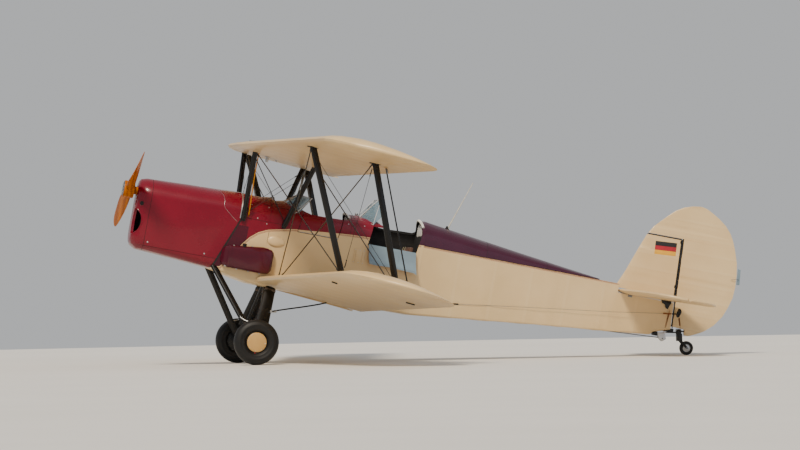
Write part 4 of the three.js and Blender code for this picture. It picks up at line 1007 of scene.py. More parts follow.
# windscreens: clear sheet, faintly blue, folded at two corners and bound in light metal
SCREENS = [{"name": "front", "foot": (1770, 130), "side": (1914, 285),
            "head": (1936, 140, 284), "side_head": (2062, 245, 264)},
           {"name": "rear", "foot": (2636, 130), "side": (2780, 280),
            "head": (2806, 165, 388), "side_head": (2824, 222, 374), "wing": (2864, 272, 209)}]
pane_glass = clouded("pale_blue_acrylic_sheet", "6c8797", "7f98a6", 18.0, 4.0, (0.3, 0.8), (0.03, 0.12),
                     Alpha=0.6, IOR=1.49)
for screen in SCREENS:
    pane = solid_copy(f"windscreen_{screen['name']}", f"windscreen_{screen['name']}")
    fit(pane, "airframe", "window_glass", pane_glass)
    rails = []
    for side in (1, -1):
        foot, _ = on_top(deck, screen["foot"][0] + 3, side * screen["foot"][1])
        corner, _ = on_top(deck, screen["side"][0] + 3, side * screen["side"][1])
        head = at(screen["head"][0] + 3, side * screen["head"][1], screen["head"][2])
        rear = at(screen["side_head"][0] + 3, side * screen["side_head"][1], screen["side_head"][2])
        other = at(screen["head"][0] + 3, 0, screen["head"][2])
        low, _ = on_top(deck, screen["foot"][0] + 3, 0, 1 * MM)
        rails.append(pipe("rail", [corner, rear, head, other], 6 * MM, False))
        rails.append(pipe("rail", [foot, head], 6 * MM, False))
        rails.append(pipe("rail", [corner, corner.lerp(foot, 0.5), foot, low], 5 * MM, False))
    fit(joined(f"windscreen_frame_{screen['name']}", rails), "airframe", "engine_metal", aluminium)
    if "wing" in screen:
        # small side wings of the same sheet reach further aft
        for hand, side in HANDS:
            corner, _ = on_top(deck, screen["side"][0] + 5, side * screen["side"][1])
            rear = at(screen["side_head"][0] + 5, side * screen["side_head"][1], screen["side_head"][2])
            tail = at(screen["wing"][0], side * screen["wing"][1], screen["wing"][2])
            sheet = [corner + X * 0.004, rear, tail]
            wing_pane = drawn(f"windscreen_wing_{hand}",
                              [sheet, [spot + Y * side * 3 * MM for spot in sheet]])
            fit(wing_pane, "airframe", "window_glass", pane_glass)
bpy.data.objects.remove(deck)

# Rear fuselage, turtle deck and aerial
# A spruce frame under linen, doped cream: the sides fall in slightly between the frames, and tapes
# cover the seams. The deck on its back is plywood in plum enamel. A thin aerial stands on it.
FRAMES = [3800, 4220, 4640, 5060, 5480, 5880]
FRAME_TAPE = 34
RUDDER_CABLE = [(3841, 300, -589), (4700, 238, -470), (5600, 150, -352), (6183, 105, -262),
                (6362, 100, -238)]
CABLE_GUIDE = [(3800, 296, -594), (3880, 291, -584)]
DECK_LAP = 3400
AERIAL_FOOT = [(0, -6), (26, -6), (26, 3), (16, 8), (11, 30), (0, 30)]
DECK_JOINTS = (4100, 4800)
AERIAL_STATION = 3643


def fabric(piece, way, places, width, sag, test, index):
    """Cloth over ribs: tapes on the ribs, and the cloth between them fallen in"""
    for place in places:
        for side in (-1, 1):
            cut(piece, way * (place + side * width / 2) * MM, way)
    middles = [((a + b) / 2, abs(b - a)) for a, b in zip(places, places[1:])]
    for middle, gap in middles:
        for part in (-0.25, 0, 0.25):
            cut(piece, way * (middle + part * gap) * MM, way)
    for share, parts in ((1.0, (0,)), (0.72, (-0.25, 0.25))):
        edit(piece, "VERT", "DESELECT")
        done()
        normals = [spot.normal.copy() for spot in piece.data.vertices]
        for spot, normal in zip(piece.data.vertices, normals):
            on_line = any(abs(spot.co.dot(way) - (middle + part * gap) * MM) < 2e-4
                          for middle, gap in middles for part in parts)
            spot.select = on_line and bool(test(spot.co, normal))
        bpy.ops.object.mode_set(mode="EDIT")
        bpy.ops.transform.shrink_fatten(value=-sag * share * MM)
        done()
    raised(piece, lambda middle, face: test(middle, face)
           and any(abs(middle.dot(way) - place * MM) < width / 2 * MM for place in places),
           0.7 * MM, index)


rear = solid_copy("fuselage_rear", "fuselage_rear")
line_z = EDGE[-1][1]
for drop, width in PINSTRIPES:
    for offset in (drop, drop + width):
        cut(rear, at(0, 0, line_z - offset), Z)
fabric(rear, -X, FRAMES, FRAME_TAPE, 4, lambda middle, face: abs(face.y) > 0.8 or face.z < -0.8, 2)
painted(rear, 1, lambda middle, face: abs(face.y) > 0.5
        and any(low < line_z - middle.z / MM < low + width for low, width in PINSTRIPES))
fit(rear, "airframe", "cream_fabric", cream, pin_red, tape)

back_deck = solid_copy("turtle_deck", "turtle_deck")
aerial_foot, _ = on_top(back_deck, AERIAL_STATION, 0)
strip(back_deck, at(DECK_LAP, 0, 0), X, 22 * MM, 1 * MM, lambda middle, face: face.z > 0)
for station in DECK_JOINTS:
    strip(back_deck, at(station, 0, 0), X, 3 * MM, -1 * MM, lambda middle, face: face.z > 0, 1)
fit(back_deck, "airframe", "plum_paint", plum, black_lining_and_shade)

pale_rod = clouded("pale_glass_fibre_rod", "b9b4a6", "d2cdbf", 20.0, Roughness=0.4)
aerial = solid_copy("aerial", "aerial")
edit(aerial)
bpy.ops.transform.shrink_fatten(value=1.5 * MM)
done()
fit(aerial, "airframe", "black_enamel", pale_rod, angle=60)
foot = spun("aerial_foot", AERIAL_FOOT, aerial_foot, Z, 28)
fit(foot, "airframe", "tyre_rubber", black_lining_and_shade)

cables, guides = [], []
for side in (1, -1):
    cables.append(pipe("cable", mirrored(RUDDER_CABLE, side), 2 * MM, False))
    guides.append(bar("guide", *mirrored(CABLE_GUIDE, side), 9 * MM, 14, 3 * MM))
fit(joined("rudder_cables", cables), "airframe", "engine_metal", steel)
fit(joined("rudder_cable_guides", guides), "airframe", "black_enamel", black_lining_and_shade)

# Wings, ailerons and their link rods
# Spruce spars and ribs under doped linen. The nose is skinned in ply, the cloth falls in a little
# between the ribs, and a pinked tape is doped over each rib. The centre section is the fuel tank.
RIB_PITCH = 330
RIB_TAPE = 36
WING_SAG = 4.0
TIP_RIB = 4080
AILERON = {"from": 2252, "to": 3880, "tape": 28.8, "sag": 2.0}
CENTRE_SPARS, CENTRE_EDGES = (1210, 1780), (-360, 360)
# station, distance left, way of the line that finds the skin, profile and steps of the turned piece
TANK_FITTINGS = {
    "filler": (1330, 0, -1, [(0, -8), (34, -8), (34, 6), (40, 8), (40, 20), (34, 25), (9, 26), (7, 36),
                             (0, 37)], 32),
    "gauge": (1500, 180, 1, [(0, 6), (26, 6), (26, -10), (18, -14), (16, -60), (0, -62)], 28),
    "drain": (1640, -120, 1, [(0, 4), (12, 4), (12, -14), (6, -18), (0, -18)], 20)}
UPPER = {"station": 1130, "z": 700, "start": 550, "sweep": 9, "dihedral": 2, "incidence": 6}
LOWER = {"station": 1600, "z": -720, "start": 336, "sweep": 8.9, "dihedral": 2.95, "incidence": 6.8}
WALKWAY = {"from": 372, "to": 690, "aft": (330, 1120)}

# rubber-coated canvas, gritty, for stepping on
grit = clouded("gritty_black_walkway", "1f1f20", "3a3a3b", 180.0, 3.0, (0.35, 0.7), relief=(0.5, 0.001),
               Roughness=0.9)


def nose_line(wing, y):
    """Station and height of a wing's nose at a distance from the middle"""
    past = max(0, abs(y) - wing["start"])
    return (wing["station"] + past * math.tan(math.radians(wing["sweep"])),
            wing["z"] + past * math.tan(math.radians(wing["dihedral"])))


def aft_of_nose(wing, distance):
    """A test for places and faces on a wing's two skins that lie some distance aft of its nose"""
    def test(spot, way):
        station, _ = nose_line(wing, spot.y / MM)
        return -spot.x / MM > station + distance and abs(way.z) > 0.75
    return test


for level, wing in (("upper", UPPER), ("lower", LOWER)):
    rib_count = int((TIP_RIB - wing["start"]) / RIB_PITCH) + 1
    ribs = [wing["start"] + 34 + RIB_PITCH * i for i in range(rib_count)]
    for hand, side in HANDS:
        panel = solid_copy(f"wing_{level}_{hand}", f"wing_{level}_{hand}")
        aft = aft_of_nose(wing, 90)
        fabric(panel, Y * side, ribs, RIB_TAPE, WING_SAG, aft, 1)
        if level == "lower":
            first, last = [wing["station"] + aft_by for aft_by in WALKWAY["aft"]]
            walk = patch(panel, f"walkway_{hand}", [
                (at(0, side * WALKWAY["from"], 0), Y * -side), (at(0, side * WALKWAY["to"], 0), Y * side),
                (at(first, 0, 0), X), (at(last, 0, 0), -X)], 1.6 * MM, lambda middle, face: face.z > 0.6)
            fit(walk, "airframe", "tyre_rubber", grit)
        fit(panel, "airframe", "cream_fabric", cream, tape)
        flap = solid_copy(f"aileron_{level}_{hand}", f"aileron_{level}_{hand}")
        within = [y for y in ribs if AILERON["from"] + 8 < y < AILERON["to"]]
        fabric(flap, Y * side, [AILERON["from"]] + within + [AILERON["to"]], AILERON["tape"],
               AILERON["sag"], lambda spot, way: abs(way.z) > 0.8, 1)
        fit(flap, f"aileron_{level}_{hand}", "cream_fabric", cream, tape)

centre = solid_copy("wing_centre", "wing_centre")
fitting_places = {name: on_top(centre, station, y, way=way)[0]
                  for name, (station, y, way, _, _) in TANK_FITTINGS.items()}
for station in CENTRE_SPARS:
    strip(centre, at(station, 0, 0), X, 26 * MM, 1.2 * MM, lambda middle, face: abs(face.z) > 0.6)
for y in CENTRE_EDGES:
    strip(centre, at(0, y, 0), Y, 24 * MM, 1.2 * MM, lambda middle, face: abs(face.z) > 0.4)
fit(centre, "airframe", "cream_fabric", cream)
caps = [spun(name, profile, fitting_places[name], Z, steps)
        for name, (_, _, _, profile, steps) in TANK_FITTINGS.items()]
fit(joined("fuel_tank_fittings", caps), "airframe", "engine_metal", aluminium)

# the rods that link the ailerons, with fork ends
black_enamel_paint = enamel("black_enamel", "0d0d0f", "09090a", 0.24, 0.05, 0.1)
for hand, _ in HANDS:
    link = solid_copy(f"aileron_link_{hand}", f"aileron_link_{hand}")
    ends = [max(link.data.vertices, key=lambda spot: sign * spot.co.z).co.copy() for sign in (1, -1)]
    middle_y = sum(spot.co.y for spot in link.data.vertices) / len(link.data.vertices)
    along = (ends[1] - ends[0]).normalized()
    forks = []
    for spot, way in ((ends[0], 1), (ends[1], -1)):
        spot.y = middle_y
        forks.append(bar("fork", spot + along * way * 14 * MM, spot + along * way * 60 * MM, 11 * MM, 14,
                         2 * MM))
    fit(link, f"aileron_link_{hand}", "black_enamel", black_enamel_paint, angle=65)
    fit(joined(f"aileron_link_forks_{hand}", forks), f"aileron_link_{hand}", "engine_metal", steel)

# Struts and bracing wires
# Streamlined ash struts in black enamel with steel ends, cabane struts of steel tube, and steel
# rigging wires. Crossed wires brace each pair of interplane struts fore and aft.
WING = {"chord": 1220, "thickness": 0.105, "camber": 0.03}
SPARS = [(0.12, 0.18), (0.69, 0.705)]  # shares of the chord where a strut ends, above and below
SPAR_Y, SPAR_LEAN = 2800, 50
CABANE = [((1340, -95), 0.16), ((1800, -95), 0.72)]
CABANE_Y = (356, 490)
FUEL_LINE = [(1366, 470, 640), (1364, 455, 520), (1372, 420, 300), (1386, 385, 60), (1390, 370, -30),
             (1392, 345, -52), (1396, 325, -58)]
SOCKET = {"long": 62, "wide": 20, "thick": 5, "off": 4}
WIRE_GROWTH = 1.5  # the streamlined wires are a little wider than their round solids


def wing_place(wing, side, y, part, upper):
    """A place on a wing's skin: a share of the chord aft of the nose"""
    mean = ((WING["camber"] / 0.16) * (0.8 * part - part * part) if part < 0.4
            else (WING["camber"] / 0.36) * (0.2 + 0.8 * part - part * part))
    half = 5 * WING["thickness"] * (0.2969 * math.sqrt(part) - 0.126 * part - 0.3516 * part ** 2
                                    + 0.2843 * part ** 3 - 0.1015 * part ** 4)
    up = (mean + (half if upper else -half)) * WING["chord"]
    along = part * WING["chord"]
    tilt = math.radians(wing["incidence"])
    station, z = nose_line(wing, y)
    return at(station + along * math.cos(tilt) + up * math.sin(tilt), side * y,
              z - along * math.sin(tilt) + up * math.cos(tilt))


def wire(a, b):
    """A rigging wire with a threaded fork end and a lock nut near each end"""
    pieces = [bar("wire", a, b, 2.5 * MM, 8)]
    way = (b - a).normalized()
    for spot, sign in ((a, 1), (b, -1)):
        pieces.append(bar("end", spot, spot + way * sign * 70 * MM, 5.5 * MM, 12, 1.5 * MM))
        pieces.append(bar("nut", spot + way * sign * 74 * MM, spot + way * sign * 88 * MM, 7 * MM, 6))
    return joined("wire", pieces)


wires = []
for hand, side in HANDS:
    for kind in ("front", "rear"):
        post = solid_copy(f"interplane_{kind}_{hand}", f"interplane_{kind}_{hand}")
        soften(post, 4 * MM, angle=20)
        fit(post, "airframe", "black_enamel", black_enamel_paint, angle=50)
    brace = solid_copy(f"cabane_{hand}", f"cabane_{hand}")
    fit(brace, "airframe", "black_enamel", black_enamel_paint, angle=50)
    for kind in ("flying_wire_front", "flying_wire_rear", "landing_wire_front", "landing_wire_rear"):
        line = solid_copy(f"{kind}_{hand}", f"{kind}_{hand}")
        high = max(line.data.vertices, key=lambda spot: spot.co.z).co.copy()
        low = min(line.data.vertices, key=lambda spot: spot.co.z).co.copy()
        edit(line)
        bpy.ops.transform.shrink_fatten(value=WIRE_GROWTH * MM)
        done()
        fit(line, "airframe", "black_enamel", black_enamel_paint, angle=65)
        way = (low - high).normalized()
        for spot, sign in ((high, 1), (low, -1)):
            wires.append(bar("end", spot + way * sign * 8 * MM, spot + way * sign * 95 * MM, 8 * MM, 12,
                             2 * MM))
    heads = [wing_place(UPPER, side, SPAR_Y + SPAR_LEAN, upper, False) for upper, _ in SPARS]
    feet = [wing_place(LOWER, side, SPAR_Y - SPAR_LEAN, lower, True) for _, lower in SPARS]
    # the two wires of a cross pass each other 10 mm apart
    apart, lift, fore = Y * side * -10 * MM, Z * 60 * MM, X * 20 * MM
    wires.append(wire(feet[0] + lift - fore + apart, heads[1] - lift + fore + apart))
    wires.append(wire(heads[0] - lift - fore, feet[1] + lift + fore))
    tops = [wing_place(UPPER, side, CABANE_Y[1], part, False) for _, part in CABANE]
    bases = [at(foot[0], side * CABANE_Y[0], foot[1]) for foot, _ in CABANE]
    wires.append(wire(bases[0] + (Z * 70 - X * 14) * MM, tops[1] - (Z * 50 - X * 14) * MM))
for (station, z), share in CABANE:
    for side in (1, -1):
        top = wing_place(UPPER, -side, CABANE_Y[1] - 30, share, False)
        wires.append(wire(at(station, side * (CABANE_Y[0] - 6), z + 60),
                          top - (Z * 30 - X * side * 5) * MM))
fit(joined("bracing_wires", wires), "airframe", "black_enamel", black_enamel_paint)

# sheet steel sockets where the struts meet the wings
plates = []
for side in (1, -1):
    for upper, lower in SPARS:
        for wing, y, share, over in ((UPPER, SPAR_Y + SPAR_LEAN, upper, False),
                                     (LOWER, SPAR_Y - SPAR_LEAN, lower, True)):
            off = SOCKET["off"] if over else -SOCKET["off"]
            spot = wing_place(wing, side, y, share, over) + Z * off * MM
            corner = Vector((SOCKET["long"], SOCKET["wide"], SOCKET["thick"])) * MM
            plates.append(block("plate", spot - corner, spot + corner, 3 * MM))
fit(joined("strut_sockets", plates), "airframe", "black_enamel", black_enamel_paint)

# the fuel pipe comes down a front cabane strut from the tank
copper = clouded("copper_fuel_pipe", "b8741e", "dd9a2e", 16.0, 4.0, rough=(0.3, 0.5), Metallic=0.8)
fuel = pipe("fuel_pipe", [at(*spot) for spot in FUEL_LINE], 7 * MM)
fit(fuel, "airframe", "engine_metal", copper)

# black lugs under the lower wings: the front strut's foot plate, and the lever of the aileron
for hand, side in HANDS:
    for solid, body, stations, y, name in (
            (f"wing_lower_{hand}", "airframe", (2118, 2150, 2182), 2735, f"strut_foot_plate_{hand}"),
            (f"aileron_lower_{hand}", f"aileron_lower_{hand}", (2945, 2995, 3045), 2760,
             f"aileron_lever_{hand}")):
        under = solid_copy("under", solid, stands=False)
        places = [on_top(under, s, side * y, 4 * MM, 1)[0] for s in stations]
        bpy.data.objects.remove(under)
        lug = ribbon(name, places, 26 * MM, 14 * MM)
        soften(lug, 4 * MM, 2)
        fit(lug, body, "black_enamel", black_enamel_paint)

# Tail surfaces
# Spruce and linen, doped cream, with steel hinges. The fin carries three plain painted bands. The
# rudder has a small metal trim tab and a horn, from which springs run down to the tail wheel's arm.
FLAG = [(5982, 523), (6224, 539), (6234, 394), (5991, 376)]
TAIL_RIBS = [180, 420, 660, 900, 1140, 1340]
RUDDER_RIBS = [-380, -210, -40, 130, 300, 470, 640, 810]
FIN_RIBS = [40, 210, 380, 550]
HINGE_HEIGHTS = (560, 60, -380)
TRIM_ROD = [(6900, 16, 250), (6950, 20, 262), (6985, 12, 268)]
NOSE_FITTING = [(5818, 92, -150), (5770, 106, -118)]
LEVER_EYE = [(6374, 92, -252), (6374, 112, -252)]
CABLE_END = [(6296, 101, -247), (6352, 100, -240)]
GAP_SHADE_WEB = {"fore": 27, "aft": 16.8, "half": 2, "heights": (-60, 200, 588)}
LEDGE = {"from": 5886, "foot": 588, "top": 596}
GAP_SHADE_EDGE = {"before": 36, "above": 582}
TRIM_TAB = [(6958, 385), (6990, 378), (7008, 210), (6972, 204)]
HINGE_LINE = [(6300, 600), (6345, -400)]
# the paints of the three bands, dark and light
BANDS = [("black_band_paint", "0c0c0e", "121214"), ("red_band_paint", "980f20", "b01226"),
         ("gold_band_paint", "cc9415", "e0a51c")]
HORN_SHAPE = [(6168, -128), (6168, -146), (6205, -158), (6222, -196), (6246, -204), (6262, -160),
              (6276, -126), (6250, -82), (6218, -82)]
LEVER_SHAPE = [(6346, -236), (6348, -264), (6366, -278), (6386, -262), (6400, -208), (6394, -190),
               (6376, -171), (6356, -178), (6350, -202)]

tailplane = solid_copy("tailplane", "tailplane")
both = sorted([-y for y in TAIL_RIBS] + TAIL_RIBS)
fabric(tailplane, Y, both, 30, 2.5, lambda spot, way: abs(way.z) > 0.9, 1)
fit(tailplane, "airframe", "cream_fabric", cream, tape)
elevator = solid_copy("elevator", "elevator")
fabric(elevator, Y, both, 28, 2, lambda spot, way: abs(way.z) > 0.8 and abs(spot.y) > 0.1, 1)
fit(elevator, "elevator", "cream_fabric", cream, tape)


def hinge_station(z):
    """Station of the rudder's hinge line at a height"""
    (high, top), (low, foot) = HINGE_LINE
    return high + (low - high) * (top - z) / (top - foot)


def ahead_of_hinge(before):
    """A place ahead of the hinge line's upper end, for a plane along that line"""
    return at(HINGE_LINE[0][0] - before, 0, HINGE_LINE[0][1])


# square to the hinge line, pointing aft
hinge_way = Vector((HINGE_LINE[1][1] - HINGE_LINE[0][1], 0, HINGE_LINE[1][0] - HINGE_LINE[0][0]))
hinge_way.normalize()
# glossy brushed enamel
band_paints = [clouded(name, dark, light, 6.0, 4.0, rough=(0.3, 0.42), Coat_Weight=0.3)
               for name, dark, light in BANDS]

fin = solid_copy("fin", "fin")
fabric(fin, Z, FIN_RIBS, 28, 2, lambda spot, way: abs(way.y) > 0.9, 1)
top_left, top_right, low_right, low_left = [at(s, 0, z) for s, z in FLAG]
down = (low_left - top_left + low_right - top_right) / 2
along = (top_right - top_left + low_right - low_left) / 2
band_way = Vector((along.z, 0, -along.x)).normalized()
band_way = band_way if band_way.z < 0 else -band_way
edge_way = Vector((down.z, 0, -down.x)).normalized()
edge_way = edge_way if edge_way.x < 0 else -edge_way
tall, wide = abs(down.dot(band_way)), abs(along.dot(edge_way))
for i in range(4):
    cut(fin, top_left + band_way * (tall * i / 3), band_way)
for spot in (top_left, top_left + edge_way * wide):
    cut(fin, spot, edge_way)
for face in fin.data.polygons:
    below = (face.center - top_left).dot(band_way) / tall
    aft = (face.center - top_left).dot(edge_way) / wide
    if 0 < below < 1 and 0 < aft < 1 and abs(face.normal.y) > 0.8:
        face.material_index = 2 + int(below * 3)
# painted shade of the gap: the fin's edges along it and its top under the balance are black,
# a black web closes most of the gap, and a black ledge fills it under the balance
edge = ahead_of_hinge(GAP_SHADE_EDGE["before"])
painted(fin, 5, lambda middle, face: face.x < -0.7 or face.z > 0.9)
cut(fin, edge, hinge_way)
cut(fin, at(0, 0, GAP_SHADE_EDGE["above"]), Z)
painted(fin, 5, lambda middle, face: (middle - edge).dot(hinge_way) > 0
        or middle.z > GAP_SHADE_EDGE["above"] * MM)
fit(fin, "airframe", "cream_fabric", cream, tape, *band_paints, black_lining_and_shade)
fore, aft, half = GAP_SHADE_WEB["fore"], GAP_SHADE_WEB["aft"], GAP_SHADE_WEB["half"]
web_ring = [(fore, -half), (fore, half), (aft, half), (aft, -half)]
web = drawn("rudder_gap_shade_web", [[at(hinge_station(z) - before, y, z) for before, y in web_ring]
                               for z in GAP_SHADE_WEB["heights"]])
ledge = block("ledge", at(LEDGE["from"], -half, LEDGE["foot"]),
              at(hinge_station(590) - fore, half, LEDGE["top"]), 0.5 * MM)
fit(joined("rudder_gap_shade_web", [web, ledge]), "airframe", "black_enamel", black_lining_and_shade)

rudder = solid_copy("rudder", "rudder")
# the balance ahead of the hinge line thins out towards its nose, which leaves a soft ridge
cut(rudder, ahead_of_hinge(2), hinge_way)
ridge = {}
for spot in rudder.data.vertices:
    if spot.co.z > 0.612:
        ridge.setdefault(round(spot.co.z, 3), []).append(spot)
for spots in ridge.values():
    nose_x = max(spot.co.x for spot in spots)
    for spot in spots:
        hinge_x = -hinge_station(spot.co.z / MM) * MM
        if spot.co.x > hinge_x and nose_x - hinge_x > 0.02:
            spot.co.y *= 0.25 + 0.75 * (nose_x - spot.co.x) / (nose_x - hinge_x)
fabric(rudder, Z, RUDDER_RIBS, 28, 2, lambda spot, way: abs(way.y) > 0.9 and abs(spot.y) < 0.03, 1)
# the horn is black; the nose ahead of the hinge and the balance's underside get black painted shade of the
# gap
painted(rudder, 2, lambda middle, face: abs(middle.y) > 0.022
        or ((middle - ahead_of_hinge(3)).dot(hinge_way) < 0 and middle.z < 0.6)
        or (middle.z < 0.604 and face.z < -0.9 and middle.x > -6.28))
fit(rudder, "rudder", "cream_fabric", cream, tape, black_lining_and_shade)
tab = drawn("rudder_trim_tab", [[at(s, y, z) for s, z in TRIM_TAB] for y in (-5.5, 5.5)])
soften(tab, 1.5 * MM)
fit(tab, "rudder", "engine_metal", door_grey)
pushrod = pipe("trim_tab_arm", mirrored(TRIM_ROD, 1), 2.5 * MM)
fit(pushrod, "rudder", "engine_metal", steel)

# strap hinges on the rudder's post, and the fitting that holds the tailplane's nose
hinges = []
for z in HINGE_HEIGHTS:
    station = hinge_station(z)
    for side in (1, -1):
        hinges.append(block("hinge", at(station - 20, side * 13, z - 16),
                            at(station - 44, side * 19, z + 16), 2.5 * MM))
fit(joined("rudder_hinge_straps", hinges), "airframe", "black_enamel", black_enamel_paint)
pins = [bar("pin", at(hinge_station(z), 0, z - 24), at(hinge_station(z + 24), 0, z + 24), 7 * MM, 14,
            1.5 * MM) for z in HINGE_HEIGHTS]
fit(joined("rudder_hinge_eyes", pins), "rudder", "engine_metal", steel)
fittings = [block("fitting", *mirrored(NOSE_FITTING, side), 3 * MM) for side in (1, -1)]
fit(joined("tailplane_fittings", fittings), "airframe", "engine_metal", steel)

# the elevator's levers, a black pressing on each side of the stern, and the rudder's levers with
# their eyes and the ends of its cables
horns = []
for side in (1, -1):
    horn = drawn("horn", [[at(s, side * y, z) for s, z in HORN_SHAPE] for y in (55, 61)])
    soften(horn, 1.5 * MM)
    horns.append(horn)
fit(joined("elevator_horns", horns), "elevator", "black_enamel", black_enamel_paint)
levers = []
for side in (1, -1):
    lever = drawn("lever", [[at(s, side * y, z) for s, z in LEVER_SHAPE] for y in (97, 103)])
    soften(lever, 1.5 * MM)
    levers += [lever, bar("eye", *mirrored(LEVER_EYE, side), 9 * MM, 16, 2 * MM)]
    levers.append(bar("cable_end", *mirrored(CABLE_END, side), 7 * MM, 14, 2 * MM))
fit(joined("rudder_levers", levers), "rudder", "black_enamel", black_enamel_paint)

# Tail wheel
# A leaf spring in a clamp under the stern, and a swivelling fork of steel plate with a solid rubber
# wheel. Four coil springs turn it with the rudder and bring it back to the middle.
STEERING_SPRING = [(6374, 100, -250), (6418, 100, -390)]
CENTRING_SPRING = [(6272, 60, -205), (6256, 34, -462)]
TURNBUCKLE = [(6196, 104, -260), (6284, 101, -249)]
CLAMP_HOLE = [(6250, 36.6, -534), (6250, 38, -534)]
COIL = {"radius": 8, "wire": 2.2, "turns": 15}
STERN_ROD = [(5387, -578), (6205, -532)]
TAIL_TYRE = [(44, -22), (52, -25), (62, -25), (70, -22), (75, -15), (78, -6), (78, 6), (75, 15),
             (70, 22), (62, 25), (52, 25), (44, 22)]
TAIL_HUB = [(10.5, -28), (20, -28), (22, -20), (36, -16), (45, -21), (47, -19), (47, 19), (45, 21),
            (36, 16), (22, 20), (20, 28), (10.5, 28)]
spring_brown = clouded("brown_lacquered_spring_steel", "6b3a1e", "8f5428", 40.0, 4.0, Metallic=0.5,
                       Roughness=0.4)
leaf = solid_copy("tail_spring", "tail_spring")
soften(leaf, 2 * MM)
# the clamp is a part of the same solid as the spring
painted(leaf, 1, lambda middle, face: abs(middle.y) > 0.0285 and middle.z < -0.458 and middle.x < -6.184)
fit(leaf, "airframe", "spring_steel", black_enamel_paint, aluminium, angle=40)
# black discs paint the shade inside the clamp's bolt holes
holes = [bar("hole", *mirrored(CLAMP_HOLE, side), 7 * MM, 20) for side in (1, -1)]
fit(joined("spring_clamp_holes", holes), "airframe", "black_enamel", black_lining_and_shade)
fork = solid_copy("tail_fork", "tail_fork")
soften(fork, 1.5 * MM)
fit(fork, "tail_swivel", "black_enamel", black_enamel_paint, angle=40)


def coil(name, a, b):
    """A coiled spring with a hook at each end"""
    way = (b - a).normalized()
    side = way.orthogonal().normalized()
    other = way.cross(side)
    long = (b - a).length
    points = [a, a + way * 0.14 * long]
    steps = COIL["turns"] * 10
    for i in range(steps + 1):
        turn = 2 * math.pi * COIL["turns"] * i / steps
        points.append(a + way * long * (0.2 + 0.6 * i / steps)
                      + (side * math.cos(turn) + other * math.sin(turn)) * COIL["radius"] * MM)
    points += [a + way * 0.86 * long, b]
    return pipe(name, points, COIL["wire"] * MM, False, rounds=2)


for hand, side in HANDS:
    spring = coil(f"steering_spring_{hand}", *mirrored(STEERING_SPRING, side))
    fit(spring, "rudder", "spring_steel", spring_brown, angle=60)
    spring = coil(f"centring_spring_{hand}", *mirrored(CENTRING_SPRING, side))
    fit(spring, "airframe", "spring_steel", spring_brown, angle=60)

turnbuckles = [bar("turnbuckle", *mirrored(TURNBUCKLE, side), 8 * MM, 14, 3 * MM) for side in (1, -1)]
fit(joined("rudder_turnbuckles", turnbuckles), "airframe", "spring_steel", spring_brown)

# the short leaves packed over the spring's end
pack = block("tail_spring_pack", at(6362, -20, -450), at(6240, 20, -408), 6 * MM)
fit(pack, "airframe", "black_enamel", black_enamel_paint)

# the fork's post, and the plate on it that the springs pull
post = bar("fork_post", at(6434, 0, -478), at(6420, 0, -406), 30 * MM, 24, 5 * MM)
plate = block("plate", at(6478, -44, -424), at(6392, 44, -408), 4 * MM)
fit(joined("fork_post", [post, plate]), "tail_swivel", "black_enamel", black_enamel_paint)
# pressed cheeks stiffen the fork's post
cheeks = drawn("fork_cheeks", [[at(6402, y, -452), at(6462, y, -440), at(6482, y, -520),
                                at(6424, y, -530)] for y in (-32.5, 32.5)])
soften(cheeks, 4 * MM, 3)
fit(cheeks, "tail_swivel", "black_enamel", black_enamel_paint)

# moulded rubber: matt, with a dusty bloom in clouds and a fine grain from the mould
rubber, tree, place = start_material("black_moulded_rubber", Specular_IOR_Level=0.35)
bloom = node(tree, "TexNoise", Vector=place, Scale=8.0, Detail=5.0)
mould = node(tree, "TexNoise", Vector=place, Scale=120.0, Detail=2.0)
feed(tree, Base_Color=node(tree, "ValToRGB", Fac=bloom, stops=((0.3, "0b0b0c"), (0.7, "161617"))),
     Roughness=node(tree, "MapRange", Value=bloom, To_Min=0.42, To_Max=0.62),
     Normal=node(tree, "Bump", Height=mould, Strength=0.1, Distance=0.0006))
solid = solid_copy("tail_wheel", "tail_wheel", stands=False)
spots = solid.data.vertices
centre = Vector((sum(spot.co.x for spot in spots) / len(spots), 0,
                 sum(spot.co.z for spot in spots) / len(spots)))
bpy.data.objects.remove(solid)
tail_tyre = spun("tail_wheel", TAIL_TYRE, centre, Y, 56)
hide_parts("tail_wheel")
fit(tail_tyre, "tail_wheel", "tyre_rubber", rubber, angle=50)
tail_hub = spun("tail_wheel_hub", TAIL_HUB, centre, Y, 48)
fit(tail_hub, "tail_wheel", "engine_metal", aluminium)
nuts = [bar("nut", centre + Y * side * 41 * MM, centre + Y * side * 50 * MM, 13 * MM, 6, 1 * MM)
        for side in (1, -1)]
fit(joined("tail_wheel_axle_nuts", nuts), "tail_swivel", "engine_metal", steel)
stern_rod = bar("tail_spring_rod", *[at(s, 0, z) for s, z in STERN_ROD], 5 * MM, 12, 1 * MM)
fit(stern_rod, "airframe", "engine_metal", steel)

# Landing gear and main wheels
# Steel tube in black enamel with a faired shock leg on each side, light alloy wheels with spun hub
# caps, and low pressure tyres.
WHEEL = {"station": 1671, "z": -1414.4, "y": 840}
STAY = [(1812, 600, -1045), (1900, 560, -1015), (2300, 400, -884), (2420, 350, -838)]
BRAKE_PIPE = [(1470, 640, -1170), (1540, 680, -1200), (1600, 700, -1196), (1640, 700, -1170)]
HALF_TYRE = [(119, 46), (127, 55), (138, 64), (151, 70.5), (166, 75), (181, 77.5), (196, 78), (210, 74),
             (222, 67), (232, 56), (240, 43), (246, 29), (249, 15)]
TYRE_GROOVES = (140, 186)
HUB_CAP = [(0, 68), (20, 67.8), (40, 67), (58, 65.2), (74, 63), (90, 60.5), (102, 57.5), (107, 55),
           (108, 50), (112, 49), (116, 47), (117.4, 43), (117.4, -42), (60, -50), (21.5, -55),
           (21.5, 56), (0, 56)]
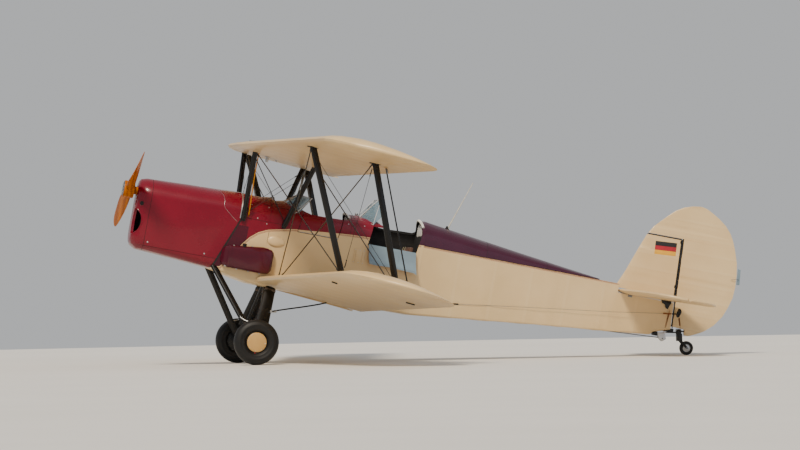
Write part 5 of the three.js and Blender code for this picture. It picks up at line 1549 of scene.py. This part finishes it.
STAY_CLIP = [(1790, 600, -1050), (1862, 583, -1040)]
LEG_COLLAR = [(1771, 409, -806), (1767, 428, -836)]
CAP_SCREWS = {"count": 8, "ring": 97}


def from_axle(spot, centre):
    """How far a place is from a wheel's axle, in mm"""
    away = spot - centre
    return (away - Y * away.y).length / MM


stay = pipe("gear_stay", [at(*spot) for spot in STAY], 8 * MM)
fit(stay, "airframe", "black_enamel", black_enamel_paint)
for hand, side in HANDS:
    leg = solid_copy(f"gear_{hand}", f"gear_{hand}")
    fit(leg, "airframe", "black_enamel", black_enamel_paint, angle=45)
    clip = ribbon(f"gear_stay_clip_{hand}", mirrored(STAY_CLIP, side), 26 * MM, 9 * MM, Z)
    soften(clip, 2 * MM)
    fit(clip, "airframe", "engine_metal", aluminium)
    hose = pipe(f"brake_pipe_{hand}", mirrored(BRAKE_PIPE, side), 5 * MM)
    fit(hose, "airframe", "engine_metal", aluminium)
    collar = ribbon(f"leg_collar_{hand}", mirrored(LEG_COLLAR, side), 126 * MM, 58 * MM, X)
    soften(collar, 18 * MM, 4)
    fit(collar, "airframe", "engine_metal", hot_steel)
    centre = at(WHEEL["station"], side * WHEEL["y"], WHEEL["z"])
    tyre = spun(f"tyre_{hand}", [(radius, -y) for radius, y in HALF_TYRE] + [(250, 0)] + HALF_TYRE[::-1],
                centre, Y, 80)
    for ring in TYRE_GROOVES:
        pick(tyre, lambda middle, face: abs(from_axle(middle, centre) - ring) < 6)
        bpy.ops.mesh.inset(thickness=1.5 * MM, depth=0.8 * MM)
        done()
    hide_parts(f"tyre_{hand}")
    fit(tyre, f"wheel_{hand}", "tyre_rubber", rubber, angle=50)

# spun aluminium hub caps in sand-gold enamel
sand = enamel("sand_gold_enamel", "cba566", "b88f52", 0.3, 0.1)
red_mark = clouded("red_line_paint", "8e1a1f", "ab2226", 30.0, Roughness=0.4)
for hand, side in HANDS:
    centre = at(WHEEL["station"], side * WHEEL["y"], WHEEL["z"])
    hub = spun(f"hub_{hand}", [(radius, side * y) for radius, y in HUB_CAP], centre, Y, 64)
    painted(hub, 1, lambda middle, face: from_axle(middle, centre) > 107.5
            or (middle.y - centre.y) * side < 0)
    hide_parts(f"hub_{hand}")
    fit(hub, f"wheel_{hand}", "sand_paint", sand, black_enamel_paint)
    rim_bolts = []
    for i in range(CAP_SCREWS["count"]):
        turn = 2 * math.pi * i / CAP_SCREWS["count"]
        spot = Vector((math.cos(turn) * CAP_SCREWS["ring"], side * 59, math.sin(turn) * CAP_SCREWS["ring"]))
        rim_bolts.append((centre + spot * MM, Y * side))
    fit(studs(f"hub_cap_screws_{hand}", rim_bolts, 4 * MM, 2.5 * MM), f"wheel_{hand}", "engine_metal",
        aluminium)
    dash = block(f"tyre_creep_mark_{hand}", centre + Vector((-6, side * 50.5 - 1, -124)) * MM,
                 centre + Vector((6, side * 50.5 + 1.2, -112)) * MM, 0.5 * MM)
    fit(dash, f"wheel_{hand}", "sand_paint", red_mark)
